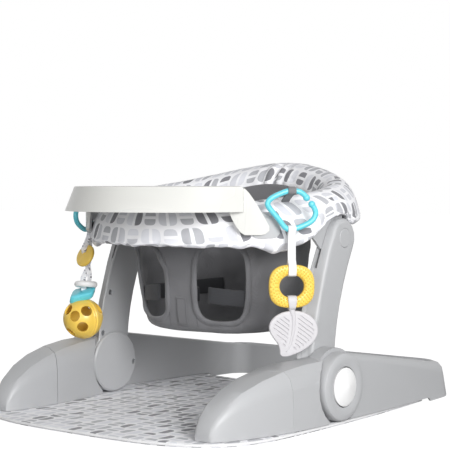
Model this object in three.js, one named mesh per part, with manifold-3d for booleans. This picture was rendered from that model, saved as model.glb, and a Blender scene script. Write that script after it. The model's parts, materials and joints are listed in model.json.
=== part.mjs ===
// Folding infant floor seat with an activity tray: a U-shaped rear frame, two feet on a padded
// floor mat, two arms that fold back about the hubs, a padded seat ring carried between the arm
// tops, a fabric seat hung from the ring, a clip-on tray and two hanging toys.
// Units are millimetres, +Z is up and the front (tray side) faces -Y.
// Everything is first placed from the hub axis at y = 0, and the last lines centre the whole.

import * as THREE from 'three';
import { mergeVertices } from 'three/addons/utils/BufferGeometryUtils.js';
import Module from 'manifold-3d';

const wasm = await Module();
wasm.setup();

// Driving dimensions

const fit_gap = 0.3;           // between pieces that touch
const run_gap = 1.2;           // between pieces that pass each other
const cut_over = 2;            // how far a cutting tool runs past what it cuts
const wall = 3;                // moulded plastic wall
const fold_travel_deg = 46;    // how far the arms fold back
const fold_slack_deg = 4;      // room past the fold's end

const hub = {
  height: 54.8, disc_radius: 48.6, disc_face: 255, disc_back: 236.6, disc_round: 6,
  barrel_radius: 54, barrel_inner: 216.5, barrel_outer: 236.3, arm_clear_radius: 52.5,
  recess_radius: 62, recess_flare: 8, sides: 26,
};
const mat = {
  thickness: 5.7, front_reach: 284, side_reach: 248, rear_reach: 257, rear_half: 226,
  rear_hollow: 23, front_power: 3.4, shoulder: 96, crown: 0.9, hem_round: 2.2, sink: 0.5,
};
const stand = mat.thickness + fit_gap;          // underside of everything that stands on the mat

const frame = {
  half_width: 247, toe_in: 17, corner_radius: 60, rear_reach: 369,
  leg_thickness: 22, bar_thickness: 31, height: 103.7, slope: 0.152, bar_height: 55,
  leg_round: 9, bar_round: 23, leg_draft: 2, bar_draft: 7, step_back: 262, step_slope: 10,
};
const foot = {
  nose_reach: 240, hub_reach: 30, height: 97, seam_outer: 108, seam_inner: 150, seam_gap: 0.6,
  nose_mid: 193, heel_mid: 219, nose_half: 37, heel_half: 31, belly: 4.5, nose_power: 2,
  rise_power: 2.2, section_power: 4.4,
};
const arm = {
  inner_face: 192.5, outer_face: 215, split: 199, pivot_back: 57, pivot_height: 261,
  top_radius: 29, hub_radius: 48.4, front_chamfer: 8, edge_round: 8, edge_inset: 6, inner_round: 1.6,
  start_share: 0.04,
};
const button = { radius: 27.4, hole_radius: 28.9, dome: 6.7, thickness: 9, stem_radius: 8, travel: 4 };
const spring = { radius: 9.6, wire: 0.8, turns: 4, steps: 7, sides: 4 };
const pin = { radius: 9.7, bore_radius: 10, head_radius: 16, head_thickness: 5, head_pocket: 17 };
const inner_disc = { radius: 48, thickness: 4.6, round: 2.4, crown: 1.6 };
const plate = { thickness: 4, hub_radius: 15, front: 66, tip: 41, tip_drop: 15, edge_rise: 7, back: 13 };
const flange = { thickness: 5, inner: 170, chamfer: 8 };
const pivot = { radius: 6, bore_radius: 6.3, cap_radius: 14, cap_thickness: 4, cap_proud: 0.8, cap_pocket: 0.3 };

const ring_rise = 70.4;                           // the ring's crest above the arms' pivots
const ring_level = arm.pivot_height + ring_rise;  // the seat, tray and toys are placed from it
const ring = {
  centre: 42.5, cover_a: 208, cover_b: 186, slope: 0.157,
  frame_inset: 19, frame_width: 22, frame_height: 22, frame_drop: 11, frame_power: 4,
  cover_width: 60, outer_depth: 45, inner_depth: 20, skin: 3.5, padding: 14, inner_drop: 30,
  hump: 19, hump_power: 4, least_skirt: 6,
};
const hem = {
  front_drop: 81, back_drop: 51, rise_start: -45, rise_end: 55, tuck: 3, arm_tuck: 0.5, bulge: 2.5,
  arch_height: 14, arch_front: -30, arch_flat_front: 28, arch_flat_back: 70, arch_back: 92,
  bunch_drop: 9, bunch_at: -58, bunch_width: 18, swell: 9, swell_at: -8, swell_width: 24,
  thin_front: -24, thin_back: 96,
};
const bucket = {
  rim_a: 147, rim_b: 124, waist_a: 124, waist_b: 108, foot_a: 112, foot_b: 96, skin: 3,
  bottom: ring_level - 214.4, waist_height: ring_level - 131.4, rim_below: 30.4, bottom_round: 14, squareness: 0.68,
  hole_width: 78, hole_height: 108, hole_middle: ring_level - 137.4, hole_angle_deg: 36,
};
const tray_inset = 22;   // of the tray's sides inside the ring's cover
const tray_side = 54;    // width of the tray's side wings
const tray = {
  front_reach: 221, half_width: ring.cover_a - tray_inset, end_back: 96, end_round: 16, flare: 13,
  top: ring_level + 4.6, bottom: ring_level - 31.4, mouth_a: ring.cover_a - tray_inset - tray_side, mouth_b: 136, recess: 9, rim: 9, rim_round: 3.5, lip_round: 3, rest_gap: 2,
  flare_start: 100, flare_full: 160,
};
const ear = {
  start_deg: -52, end_deg: -36.3, gap: 0.6, thickness: 4.5, bottom: ring_level - 63.4, front_lift: 34, end_lift: 6,
  top_share: 0.4, end_top: ring_level - 51.4,
};
const receiver = {
  start_deg: -43, end_deg: -31.5, bottom: ring_level - 68.4, top: ring_level - 39.4, offset: 3.6,
  thickness: 4.2, stem: 15, round: 7,
};

const strap_thickness = 1.6;
const strap_gap = 1.6;            // from the seat's wall, which the straps lie along
const waist_strap = { width: 24, height: ring_level - 155.4, end_deg: 14 };
const crotch_strap = { width: 25, top: ring_level - 163.4 };
const buckle = { width: 46, height: 30, thickness: 15, round: 5 };

const link = { width: 66, height: 61, bar: 3.7, power: 2.8, gap_share: 0.075, gap_deg: 32, tip_radius: 4.8 };
const loop = { width: 11.5, fall: 22, lap: 21 };
const right_toy = { x: 203, y: -57, turn_deg: 50, link_bottom: ring_level - 55.4 };
const left_toy = { x: -192, y: -64, turn_deg: -70, link_bottom: ring_level - 63.4, bead_turn_deg: 20 };
const ribbon_size = { width: 11.5, thickness: 1.4 };
const teether = {
  outer_x: 32.5, outer_z: 30, hole_x: 17.5, hole_z: 15.5, thickness: 10, centre: ring_level - 134.4, power: 2.5, bump: 1.2, bumps: 18,
};
const leaf = {
  width: 64, top: ring_level - 168.4, bottom: ring_level - 227.4, thickness: 7, rib: 3, stem_width: 10, slots: 5, slot_width: 2.4, play: 1.5,
};
const disc_bead = { radius: 20, thickness: 9, round: 2, centre: ring_level - 103.4, tilt_deg: 24 };
const ring_bead = { radius: 15.5, tube: 4.4, centre: ring_level - 143.3, tilt_deg: -9 };
const block_bead = { width: 39, height: 20, depth: 26, round: 6, centre: ring_level - 158, tilt_deg: -9 };
const ball = { radius: 31.5, skin: 2.6, centre: ring_level - 200.9, hole_radius: 8.6, seam: 1.1, seam_width: 2.2, rows_deg: 36, per_row: 5 };
const knot = { width: 16, depth: 7, height: 6 };
const screw = { radius: 4, depth: 5, sunk: 1.2, socket: 1.6 };

// Finishes

function finish(colour, roughness, metalness = 0) {
  return new THREE.MeshStandardMaterial({ color: colour, roughness, metalness });
}
const grey_plastic = finish(0xc2c4c7, 0.5);
const dark_gap_plastic = finish(0xb4b6b9, 0.55);
const tray_plastic = finish(0xecebe7, 0.35);
const white_plastic = finish(0xf0efee, 0.4);
const steel = finish(0x8d8f92, 0.35, 0.9);
const cover_cloth = finish(0xe9e9ee, 0.9);
const seat_cloth = finish(0x5b5b5e, 0.9);
const webbing_cloth = finish(0x3c3d40, 0.9);
const loop_cloth = finish(0x7b7a7c, 0.9);
const ribbon_cloth = finish(0xeeeef0, 0.85);
const black_plastic = finish(0x1d1e20, 0.45);
const teal_plastic = finish(0x6cc8d4, 0.35);
const yellow_plastic = finish(0xe3bd4c, 0.45);
const leaf_plastic = finish(0xe6e2df, 0.5);

// Solids

const group = new THREE.Group();
const body = new THREE.Group();
group.add(body);

function signedVolume(positions, indices) {
  let six = 0;
  for (let i = 0; i < indices.length; i += 3) {
    const [a, b, c] = [0, 1, 2].map((k) => new THREE.Vector3().fromArray(positions, indices[i + k] * 3));
    six += a.dot(b.cross(c));
  }
  return six / 6;
}

function meshFrom(positions, indices) {
  const flipped = signedVolume(positions, indices) < 0;
  const order = flipped ? indices.flatMap((v, i) => (i % 3 === 0 ? [v, indices[i + 2], indices[i + 1]] : [])) : indices;
  const geometry = new THREE.BufferGeometry();
  geometry.setAttribute('position', new THREE.Float32BufferAttribute(positions, 3));
  geometry.setIndex(order);
  return geometry;
}

// A skin through rings of points: open ends are capped, a loop joins its last ring to its first.
function loft(rings, { loop: looped = false, section = null } = {}) {
  const count = rings[0].length;
  const positions = rings.flat(2);
  const indices = [];
  const spans = looped ? rings.length : rings.length - 1;
  for (let r = 0; r < spans; r++) {
    const next = (r + 1) % rings.length;
    for (let k = 0; k < count; k++) {
      const far = (k + 1) % count;
      const [a, b, c, d] = [r * count + k, r * count + far, next * count + far, next * count + k];
      indices.push(a, b, c, a, c, d);
    }
  }
  if (!looped) {
    const flat = (section ?? flatten(rings[0])).map(([x, y]) => new THREE.Vector2(x, y));
    const faces = THREE.ShapeUtils.triangulateShape(flat, []);
    const turn = THREE.ShapeUtils.area(flat) > 0 ? 1 : -1;
    const last = (rings.length - 1) * count;
    for (const [a, b, c] of faces) {
      if (turn > 0) indices.push(a, c, b, last + a, last + b, last + c);
      else indices.push(a, b, c, last + a, last + c, last + b);
    }
  }
  return meshFrom(positions, indices);
}

// The two coordinates in which a ring of points spreads most.
function flatten(ring_points) {
  const spans = [0, 1, 2].map((k) => {
    const values = ring_points.map((p) => p[k]);
    return Math.max(...values) - Math.min(...values);
  });
  const drop = spans.indexOf(Math.min(...spans));
  return ring_points.map((p) => p.filter((_, k) => k !== drop));
}

function toSolid(geometry) {
  const bare = geometry.clone();
  bare.deleteAttribute('normal');
  bare.deleteAttribute('uv');
  const merged = mergeVertices(bare, 1e-4);
  return new wasm.Manifold(new wasm.Mesh({
    numProp: 3,
    vertProperties: Float32Array.from(merged.attributes.position.array),
    triVerts: Uint32Array.from(merged.index.array),
  }));
}

function toGeometry(solid) {
  const mesh = solid.getMesh();
  const geometry = new THREE.BufferGeometry();
  geometry.setAttribute('position', new THREE.Float32BufferAttribute(mesh.vertProperties, 3));
  geometry.setIndex([...mesh.triVerts]);
  return geometry;
}

function join(...geometries) {
  return toGeometry(geometries.map(toSolid).reduce((sum, next) => sum.add(next)));
}

function cut(geometry, ...tools) {
  return toGeometry(tools.map(toSolid).reduce((rest, tool) => rest.subtract(tool), toSolid(geometry)));
}

function common(geometry, other) {
  return toGeometry(toSolid(geometry).intersect(toSolid(other)));
}

function mirrored(geometry) {
  const positions = [...geometry.attributes.position.array].map((v, i) => (i % 3 === 0 ? -v : v));
  const indices = geometry.index ? [...geometry.index.array] : positions.slice(0, positions.length / 3).map((_, i) => i);
  return meshFrom(positions, indices);
}

function add(name, geometry, material) {
  const mesh = new THREE.Mesh(geometry, material);
  mesh.name = name;
  body.add(mesh);
}

// The same piece on both sides of the seat: built on +X and mirrored.
function addPair(name, geometry, material) {
  add(`${name}_right`, geometry, material);
  add(`${name}_left`, mirrored(geometry), material);
}

// An outline in (y, z) given a thickness along X, and one in (x, y) given a height along Z.
function slabX(points, low, high) {
  return loft([low, high].map((x) => points.map(([y, z]) => [x, y, z])), { section: points });
}

function slabZ(points, low, high) {
  return loft([low, high].map((z) => points.map(([x, y]) => [x, y, z])), { section: points });
}

function circle(radius, y, z, count = 26) {
  return spread(count).map((turn) => [y + radius * Math.cos(turn), z + radius * Math.sin(turn)]);
}

function spread(count) {
  return Array.from({ length: count }, (_, i) => (i / count) * Math.PI * 2);
}

function steps(count) {
  return Array.from({ length: count + 1 }, (_, i) => i / count);
}

function drum(radius, low, high, y, z, count = 26) {
  return slabX(circle(radius, y, z, count), low, high);
}

// A body turned about an axis parallel to X: the profile lists [x, radius].
function turned(profile, y, z, count = 28) {
  const rings = spread(count).map((turn) => profile.map(([x, r]) => [x, y + r * Math.cos(turn), z + r * Math.sin(turn)]));
  return loft(rings, { loop: true });
}

// A solid of revolution that closes on its axis, with its ends capped.
function turnedSolid(profile, y, z, count = 26) {
  return loft(profile.map(([x, r]) => circle(r, y, z, count).map(([py, pz]) => [x, py, pz])), {
    section: circle(1, 0, 0, count),
  });
}

const mix = (a, b, t) => a + (b - a) * t;
const rad = THREE.MathUtils.degToRad;
const power = (value, exponent) => Math.sign(value) * Math.abs(value) ** exponent;

// Closed curve of superellipse form, in its own plane.
function squircle(a, b, exponent, count) {
  return spread(count).map((turn) => [a * power(Math.cos(turn), 2 / exponent), b * power(Math.sin(turn), 2 / exponent)]);
}

// Bowed centre line of an arm in (y, z), from the hub up to the pivot.
const arm_line = new THREE.QuadraticBezierCurve(
  new THREE.Vector2(0, hub.height),
  new THREE.Vector2(-arm.pivot_back * 0.06, mix(hub.height, arm.pivot_height, 0.5)),
  new THREE.Vector2(arm.pivot_back, arm.pivot_height),
);

// Base: rear frame

// One side of the frame's outer line on the floor, from the hub back to the middle of the bar,
// as points with their inward normals and how far along the change from leg to bar they lie.
function frameLine() {
  const start = Math.atan2(frame.toe_in * 2, frame.rear_reach - frame.corner_radius);
  const leg_end = frame.rear_reach - frame.corner_radius * (1 - Math.sin(start));
  const leg_x = (y) => frame.half_width - frame.toe_in * (y / leg_end) ** 2;
  const line = steps(6).map((t) => {
    const y = t * leg_end;
    const lean = (2 * frame.toe_in * y) / leg_end ** 2;
    const length = Math.hypot(1, lean);
    return { at: [leg_x(y), y], inward: [-1 / length, -lean / length], share: 0.5 * t ** 2 };
  });
  const centre = [leg_x(leg_end) - frame.corner_radius * Math.cos(start), frame.rear_reach - frame.corner_radius];
  for (const t of steps(6).slice(1)) {
    const turn = mix(start, Math.PI / 2, t);
    const normal = [Math.cos(turn), Math.sin(turn)];
    line.push({
      at: normal.map((n, k) => centre[k] + frame.corner_radius * n),
      inward: normal.map((n) => -n),
      share: mix(0.5, 1, t),
    });
  }
  for (const t of steps(2).slice(1)) line.push({ at: [centre[0] * (1 - t), frame.rear_reach], inward: [0, -1], share: 1 });
  return line;
}

// Inverted channel: outer wall, rounded top, inner wall, and the hollow underneath.
function frameSection(share, height) {
  const thickness = mix(frame.leg_thickness, frame.bar_thickness, share);
  const round = mix(frame.leg_round, frame.bar_round, share);
  const draft = mix(frame.leg_draft, frame.bar_draft, share);
  const inner_round = frame.leg_round / 2;
  const outer = steps(3).map((t) => {
    const turn = (t * Math.PI) / 2;
    return [draft + round * (1 - Math.cos(turn)) * 0.9, height - round * (1 - Math.sin(turn)) * 1.15];
  });
  const inner = steps(2).map((t) => {
    const turn = (t * Math.PI) / 2;
    return [thickness - inner_round * (1 - Math.sin(turn)), height - inner_round * (1 - Math.cos(turn))];
  });
  const hollow_top = height - wall - inner_round;
  return [
    [0, 0], ...outer, ...inner, [thickness, 0],
    [thickness - wall, 0], [thickness - wall, hollow_top],
    [draft + round * 0.9 + wall * 0.6, hollow_top], [draft + wall, height - round * 1.15 - wall / 2], [wall, 0],
  ];
}

function frameRings() {
  const half = frameLine();
  const whole = [...half, ...half.slice(0, -1).reverse().map((s) => ({
    at: [-s.at[0], s.at[1]], inward: [-s.inward[0], s.inward[1]], share: s.share,
  }))];
  return whole.map(({ at, inward, share }) => {
    const height = Math.max(frame.height - frame.slope * at[1], frame.bar_height);
    return frameSection(share, height).map(([o, z]) => [at[0] + inward[0] * o, at[1] + inward[1] * o, z]);
  });
}

function rearFrame() {
  const wide = frame.half_width + cut_over;
  const channel = loft(frameRings(), { section: frameSection(0, frame.height) });
  const mat_step = slabX([
    [-frame.rear_reach, -cut_over], [frame.step_back + frame.step_slope, -cut_over],
    [frame.step_back, stand], [-frame.rear_reach, stand],
  ], -wide, wide);
  const barrels = [-1, 1].map((side) => {
    const ends = [hub.barrel_inner * side, (hub.disc_face + cut_over) * side].sort((a, b) => a - b);
    return drum(hub.barrel_radius + fit_gap, ends[0], ends[1], 0, hub.height);
  });
  return cut(channel, mat_step, ...barrels);
}
add('rear_frame', rearFrame(), grey_plastic);

// Base: feet

function footRings(inset) {
  const reach = foot.nose_reach - foot.hub_reach;
  const nose_shares = [0.003, 0.015, 0.05, 0.12, 0.24, 0.4, 0.6, 0.8, 1];
  return nose_shares.map((t) => {
    const rise = Math.max(1 - (1 - t) ** foot.nose_power, 0) ** (1 / foot.rise_power);
    const height = (foot.height - stand) * rise - inset;
    const width = mix(foot.nose_half, foot.heel_half, t) + foot.belly * Math.sin(Math.PI * t);
    const half = width * mix(rise, 1, 0.25) - inset;
    const middle = mix(foot.nose_mid, foot.heel_mid, t ** 0.8);
    const y = -foot.nose_reach + reach * t + (1 - t) * inset;
    return steps(8).map((s) => {
      const turn = Math.PI * s;
      const lift = power(Math.sin(turn), 2 / foot.section_power);
      return [middle + half * power(Math.cos(turn), 2 / foot.section_power), y, stand + height * lift];
    });
  });
}

function footBlank() {
  const outside = loft(footRings(0));
  const inside = footRings(wall);
  const below = inside.map((points) => points.map(([x, y, z]) => [x, y, z - cut_over]));
  return cut(outside, loft(below));
}

// Flat plane across the foot, slanted in plan, that parts the nose from the heel shell.
function seamPrism(front, gap) {
  const far = foot.nose_reach + cut_over * 2;
  const wide = hub.disc_face;
  const narrow = foot.nose_mid - foot.nose_half * 2;
  const slope = (foot.seam_inner - foot.seam_outer) / (foot.heel_mid + foot.heel_half - (foot.nose_mid - foot.nose_half));
  const at = (x) => -foot.seam_outer - slope * (foot.heel_mid + foot.heel_half - x) - (front ? gap : 0);
  const edge = front ? -far : cut_over;
  return slabZ([[narrow, at(narrow)], [wide, at(wide)], [wide, edge], [narrow, edge]], -cut_over, foot.height + hub.height);
}

function footHeel() {
  const heel = common(footBlank(), seamPrism(false, 0));
  const barrel = turnedSolid([
    [hub.barrel_inner, hub.barrel_radius], [hub.barrel_outer, hub.barrel_radius],
  ], 0, hub.height, hub.sides);
  const under = slabX([
    [-hub.barrel_radius * 2, -hub.barrel_radius], [hub.barrel_radius * 2, -hub.barrel_radius],
    [hub.barrel_radius * 2, stand], [-hub.barrel_radius * 2, stand],
  ], hub.barrel_inner - cut_over, hub.barrel_outer + cut_over);
  const arm_room = drum(hub.arm_clear_radius, arm.inner_face - foot.heel_half, hub.barrel_inner, 0, hub.height, hub.sides);
  const recess = turnedSolid([
    [hub.barrel_outer, hub.disc_radius + run_gap], [hub.disc_face - hub.disc_round, hub.disc_radius + hub.disc_round],
    [hub.disc_face + cut_over, hub.recess_radius + hub.recess_flare],
  ], 0, hub.height, hub.sides);
  const bore = drum(pin.bore_radius, hub.barrel_inner - cut_over, hub.barrel_outer + cut_over, 0, hub.height, 24);
  const pocket_floor = hub.barrel_outer - pin.head_thickness - spring.wire * 4;
  const pocket = drum(pin.head_pocket, pocket_floor, hub.barrel_outer + cut_over, 0, hub.height, 32);
  const arm_way = slabX(armOutline(-run_gap * 1.5, 0), arm.inner_face - foot.heel_half, hub.barrel_inner);
  return cut(join(heel, barrel), under, arm_room, arm_way, recess, bore, pocket);
}
addPair('foot_nose', common(footBlank(), seamPrism(true, foot.seam_gap)), grey_plastic);
addPair('foot_heel', footHeel(), grey_plastic);

// Base: hubs, their pins, buttons and springs

function hubDisc() {
  const r = hub.disc_radius;
  const face = hub.disc_face;
  const rim = hub.disc_round;
  const edge = steps(2).map((t) => [face - rim * (1 - Math.cos((t * Math.PI) / 2)), r - rim * (1 - Math.sin((t * Math.PI) / 2))]);
  const profile = [
    [hub.disc_back, r], ...edge.reverse(), [face + rim / 8, mix(r, button.hole_radius, 0.6)],
    [face - rim / 6, button.hole_radius], [face - button.thickness - wall, button.hole_radius],
    [face - button.thickness - wall, button.stem_radius + run_gap], [hub.disc_back, button.stem_radius + run_gap],
  ];
  return turned(profile, 0, hub.height, hub.sides);
}

function hubButton() {
  const seat = hub.disc_face - button.thickness - wall + button.travel + fit_gap;
  const crown = steps(2).map((t) => [hub.disc_face + button.dome * Math.cos((t * Math.PI) / 2) ** 1.4 * 0.999, button.radius * Math.sin((t * Math.PI) / 2) ** 0.9]);
  const profile = [
    ...crown.slice(1), [seat, button.radius], [seat, button.stem_radius],
    [hub.disc_back + button.travel, button.stem_radius],
  ];
  profile.unshift([crown[0][0], button.radius * 0.02]);
  profile.push([hub.disc_back + button.travel, button.radius * 0.02]);
  return turnedSolid(profile, 0, hub.height, hub.sides);
}

function hubPin() {
  const head_end = hub.barrel_outer - spring.wire * 4 - fit_gap;
  const low = arm.inner_face + wall;
  return turnedSolid([
    [low, pin.radius], [head_end - pin.head_thickness + fit_gap, pin.radius],
    [head_end - pin.head_thickness + fit_gap, pin.head_radius], [head_end, pin.head_radius],
  ], 0, hub.height, 20);
}

class Helix extends THREE.Curve {
  constructor(start, length) {
    super();
    this.start = start;
    this.length = length;
  }
  getPoint(t, target = new THREE.Vector3()) {
    const turn = t * spring.turns * Math.PI * 2;
    const r = spring.radius;
    return target.set(this.start + this.length * t, r * Math.cos(turn), hub.height + r * Math.sin(turn));
  }
}

function tube(curve, radius, count, sides) {
  const shape = new THREE.Shape();
  const corners = spread(sides).map((turn) => [radius * Math.cos(turn), radius * Math.sin(turn)]);
  corners.forEach(([x, y], i) => (i === 0 ? shape.moveTo(x, y) : shape.lineTo(x, y)));
  return new THREE.ExtrudeGeometry(shape, { steps: count, extrudePath: curve, bevelEnabled: false });
}

function hubSpring() {
  const low = hub.barrel_outer - spring.wire * 4 + spring.wire + fit_gap;
  const high = hub.disc_face - button.thickness - wall - spring.wire - fit_gap;
  return tube(new Helix(low, high - low), spring.wire, spring.turns * spring.steps, spring.sides);
}
const spring_room = drum(
  spring.radius + spring.wire * 2, hub.disc_back - cut_over, hub.disc_face - button.thickness - wall - fit_gap, 0, hub.height, 16,
);
addPair('hub_disc', cut(hubDisc(), spring_room), grey_plastic);
addPair('hub_pin', hubPin(), steel);
addPair('release_button', hubButton(), white_plastic);
addPair('button_spring', hubSpring(), steel);

// Base: floor mat

// Plan outline of the mat: a broad rounded front, straight sides under the legs, a hollow rear edge.
function matOutline(inset) {
  const half = mat.side_reach - inset;
  const front = mat.front_reach - inset;
  const rear = mat.rear_reach - inset;
  const rear_half = mat.rear_half - inset;
  const bow = steps(14).map((t) => {
    const turn = (Math.PI / 2) * t;
    const x = half * power(Math.sin(turn), 2 / mat.front_power);
    return [x, -mat.shoulder - (front - mat.shoulder) * power(Math.cos(turn), 2 / mat.front_power)];
  });
  const side = steps(4).slice(1, -1).map((t) => [mix(half, rear_half, t ** 2), mix(-mat.shoulder, rear, t)]);
  const back = steps(6).map((t) => [rear_half * (1 - t), rear - mat.rear_hollow * Math.sin((Math.PI / 2) * t)]);
  const right = [...bow, ...side, ...back];
  const left = right.slice(1, -1).reverse().map(([x, y]) => [-x, y]);
  return [...right, ...left];
}

function floorMat() {
  const top = mat.thickness;
  const layers = [
    [mat.hem_round, 0], [0, mat.hem_round * 0.7], [0, top - mat.hem_round], [mat.hem_round * 0.6, top - mat.hem_round / 4],
    [mat.hem_round * 2, top],
  ];
  const rings = layers.map(([inset, z]) => matOutline(inset).map(([x, y]) => [x, y, z]));
  return loft(rings, { section: matOutline(layers[0][0]) });
}
add('floor_mat', floorMat(), cover_cloth);

// Arms

// Outline of an arm in (y, z): both edges follow the bowed centre line, and the top is round.
function armOutline(inset, chamfer) {
  const half = (t) => mix(arm.hub_radius * 0.7, arm.top_radius, t ** 1.6) - inset;
  const side = (sign, t) => {
    const at = arm_line.getPoint(t);
    const run = arm_line.getTangent(t);
    const reach = half(t) - (sign < 0 ? chamfer * Math.min(1, 2.5 * (1 - t)) : 0);
    return [at.x + sign * run.y * reach, at.y - sign * run.x * reach];
  };
  const along = steps(7).map((t) => mix(arm.start_share, 1, t));
  const front = along.map((t) => side(-1, t));
  const rear = along.map((t) => side(1, t)).reverse();
  const lean = arm_line.getTangent(1);
  const start = Math.atan2(lean.y, lean.x) + Math.PI / 2;
  const top = steps(8).slice(1, -1).map((t) => {
    const turn = start - Math.PI * t;
    const r = arm.top_radius - inset;
    return [arm.pivot_back + r * Math.cos(turn), arm.pivot_height + r * Math.sin(turn)];
  });
  return [...front, ...top, ...rear];
}

function armLayers(layers) {
  const rings = layers.map(([x, inset, chamfer]) => armOutline(inset, chamfer).map(([y, z]) => [x, y, z]));
  return loft(rings, { section: armOutline(layers[0][1], layers[0][2]) });
}

// Side view of the ring's bracket plate about the pivot, from its root under the ring to its boss.
function plateOutline() {
  const boss = steps(8).map((t) => {
    const turn = mix(-Math.PI * 0.62, -Math.PI * 0.1, t);
    return [plate.hub_radius * Math.cos(turn), plate.hub_radius * Math.sin(turn)];
  });
  const root = (y) => ringUnder(arm.pivot_back + y) - arm.pivot_height - flange.thickness / 2;
  return [
    [-plate.front, root(-plate.front)], [-plate.front, plate.edge_rise], [-plate.tip, -plate.tip_drop],
    ...boss, [plate.back, root(plate.back)],
  ];
}

// The room that the plate sweeps inside the arm while the arm folds back.
function slotOutline() {
  const travel = rad(fold_travel_deg + fold_slack_deg);
  const room = fit_gap * 2;
  const swing = (y, z, t) => {
    const r = Math.hypot(y, z) + room;
    const turn = Math.atan2(z, y) + travel * t;
    return [r * Math.cos(turn), r * Math.sin(turn)];
  };
  const front = steps(4).map((t) => swing(-plate.front - room, plate.edge_rise, t));
  const boss = steps(6).map((t) => {
    const turn = mix(-Math.PI * 0.62 + travel, 0, t);
    return [(plate.hub_radius + room) * Math.cos(turn), (plate.hub_radius + room) * Math.sin(turn)];
  });
  const top = arm.top_radius + cut_over;
  return [
    [-plate.front - room, top], ...front, swing(-plate.tip, -plate.tip_drop, 1), ...boss, [plate.hub_radius + room, top],
  ];
}

function aboutPivot(points) {
  return points.map(([y, z]) => [arm.pivot_back + y, arm.pivot_height + z]);
}

function pivotSlot() {
  const half = plate.thickness / 2 + fit_gap * 2;
  return slabX(aboutPivot(slotOutline()), arm.split - half, arm.split + half);
}

function armHalf(low, high, round_low, round_high) {
  const r = arm.hub_radius;
  return turnedSolid([
    [low, r - round_low], [low + round_low, r], [high - round_high, r], [high, r - round_high],
  ], 0, hub.height, hub.sides);
}

const screw_spots = { arm_screw_upper: [-7, 166], arm_screw_lower: [-24, 102] };
const disc_screw_spot = [41, 51];

function screwBody([y, z], face, depth) {
  return drum(screw.radius, face + screw.sunk, face + depth, y, z, 12);
}

function screwHole([y, z], face) {
  return drum(screw.radius + fit_gap, face - cut_over, face + screw.depth + fit_gap, y, z, 12);
}

function armInner() {
  const seam = arm.split - fit_gap / 2;
  const middle = arm.front_chamfer * 0.45;
  const blade = armLayers([
    [arm.inner_face, arm.inner_round, 0], [arm.inner_face + arm.inner_round, 0, 0], [seam, 0, middle],
  ]);
  const round = armHalf(arm.inner_face, seam, arm.inner_round, 0);
  const pivot_seat = drum(pivot.bore_radius, arm.inner_face + wall, seam + cut_over, arm.pivot_back, arm.pivot_height, 20);
  const hub_seat = drum(pin.bore_radius, arm.inner_face + wall - fit_gap, seam + cut_over, 0, hub.height, 24);
  return cut(join(blade, round), pivotSlot(), pivot_seat, hub_seat, ...Object.values(screw_spots).map((at) => screwHole(at, arm.inner_face)));
}

function armOuter() {
  const seam = arm.split + fit_gap / 2;
  const face = arm.outer_face;
  const soft = steps(3).map((t) => {
    const turn = (t * Math.PI) / 2;
    return [face - arm.edge_round * (1 - Math.sin(turn)), arm.edge_inset * (1 - Math.cos(turn)), arm.front_chamfer];
  });
  const blade = armLayers([[seam, 0, arm.front_chamfer * 0.45], ...soft]);
  const round = armHalf(seam, face, 0, arm.edge_round / 2);
  const cap_floor = face - pivot.cap_thickness - pivot.cap_pocket;
  const cap_seat = drum(
    pivot.cap_radius + fit_gap, cap_floor, face + cut_over, arm.pivot_back, arm.pivot_height, 24,
  );
  const pivot_seat = drum(pivot.bore_radius, seam - cut_over, face + cut_over, arm.pivot_back, arm.pivot_height, 20);
  const hub_seat = drum(pin.bore_radius, seam - cut_over, face + cut_over, 0, hub.height, 24);
  return cut(join(blade, round), pivotSlot(), cap_seat, pivot_seat, hub_seat);
}

function pivotCap() {
  const face = arm.outer_face;
  return turnedSolid([
    [face - pivot.cap_thickness, pivot.cap_radius], [face + pivot.cap_proud / 4, pivot.cap_radius],
    [face + pivot.cap_proud, pivot.cap_radius - pivot.cap_proud * 1.5],
  ], arm.pivot_back, arm.pivot_height, 24);
}

function armDisc() {
  const face = arm.inner_face - fit_gap;
  const low = face - inner_disc.thickness;
  const r = inner_disc.radius;
  const blank = turnedSolid([
    [low - inner_disc.crown, r * 0.3], [low - inner_disc.crown * 0.6, r * 0.7], [low, r - inner_disc.round],
    [low + inner_disc.round, r], [face, r],
  ], 0, hub.height, hub.sides);
  return cut(blank, screwHole(disc_screw_spot, low));
}

// Ring: shared places

function ringTop(y) {
  return ring_level + ring.slope * (y - ring.centre);
}

// The cover's crest: level with the ring, and raised behind the child's back.
function coverTop(y) {
  const along = Math.max((y - ring.centre) / ring.cover_b, 0);
  return ringTop(y) + ring.hump * along ** ring.hump_power;
}

function ringUnder(y) {
  return ringTop(y) - ring.frame_drop - ring.frame_height;
}

// A point of the ring's plan at an angle, a distance outside the cover's outer line.
function ringAt(turn, offset) {
  return [(ring.cover_a + offset) * Math.cos(turn), ring.centre + (ring.cover_b + offset) * Math.sin(turn)];
}

addPair('arm_inner_shell', armInner(), grey_plastic);
addPair('arm_outer_shell', armOuter(), grey_plastic);
addPair('arm_hub_cover', armDisc(), grey_plastic);
addPair('pivot_pin', drum(
  pivot.radius, arm.inner_face + wall + fit_gap, arm.outer_face - pivot.cap_thickness - pivot.cap_pocket - fit_gap,
  arm.pivot_back, arm.pivot_height, 20,
), steel);
addPair('pivot_cap', pivotCap(), grey_plastic);
for (const [name, at] of Object.entries(screw_spots)) addPair(name, screwBody(at, arm.inner_face, screw.depth), steel);
addPair('hub_cover_screw', screwBody(disc_screw_spot, arm.inner_face - fit_gap - inner_disc.thickness, inner_disc.thickness), steel);

// Ring: frame, brackets, cover

const ring_turns = spread(36);

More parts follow.
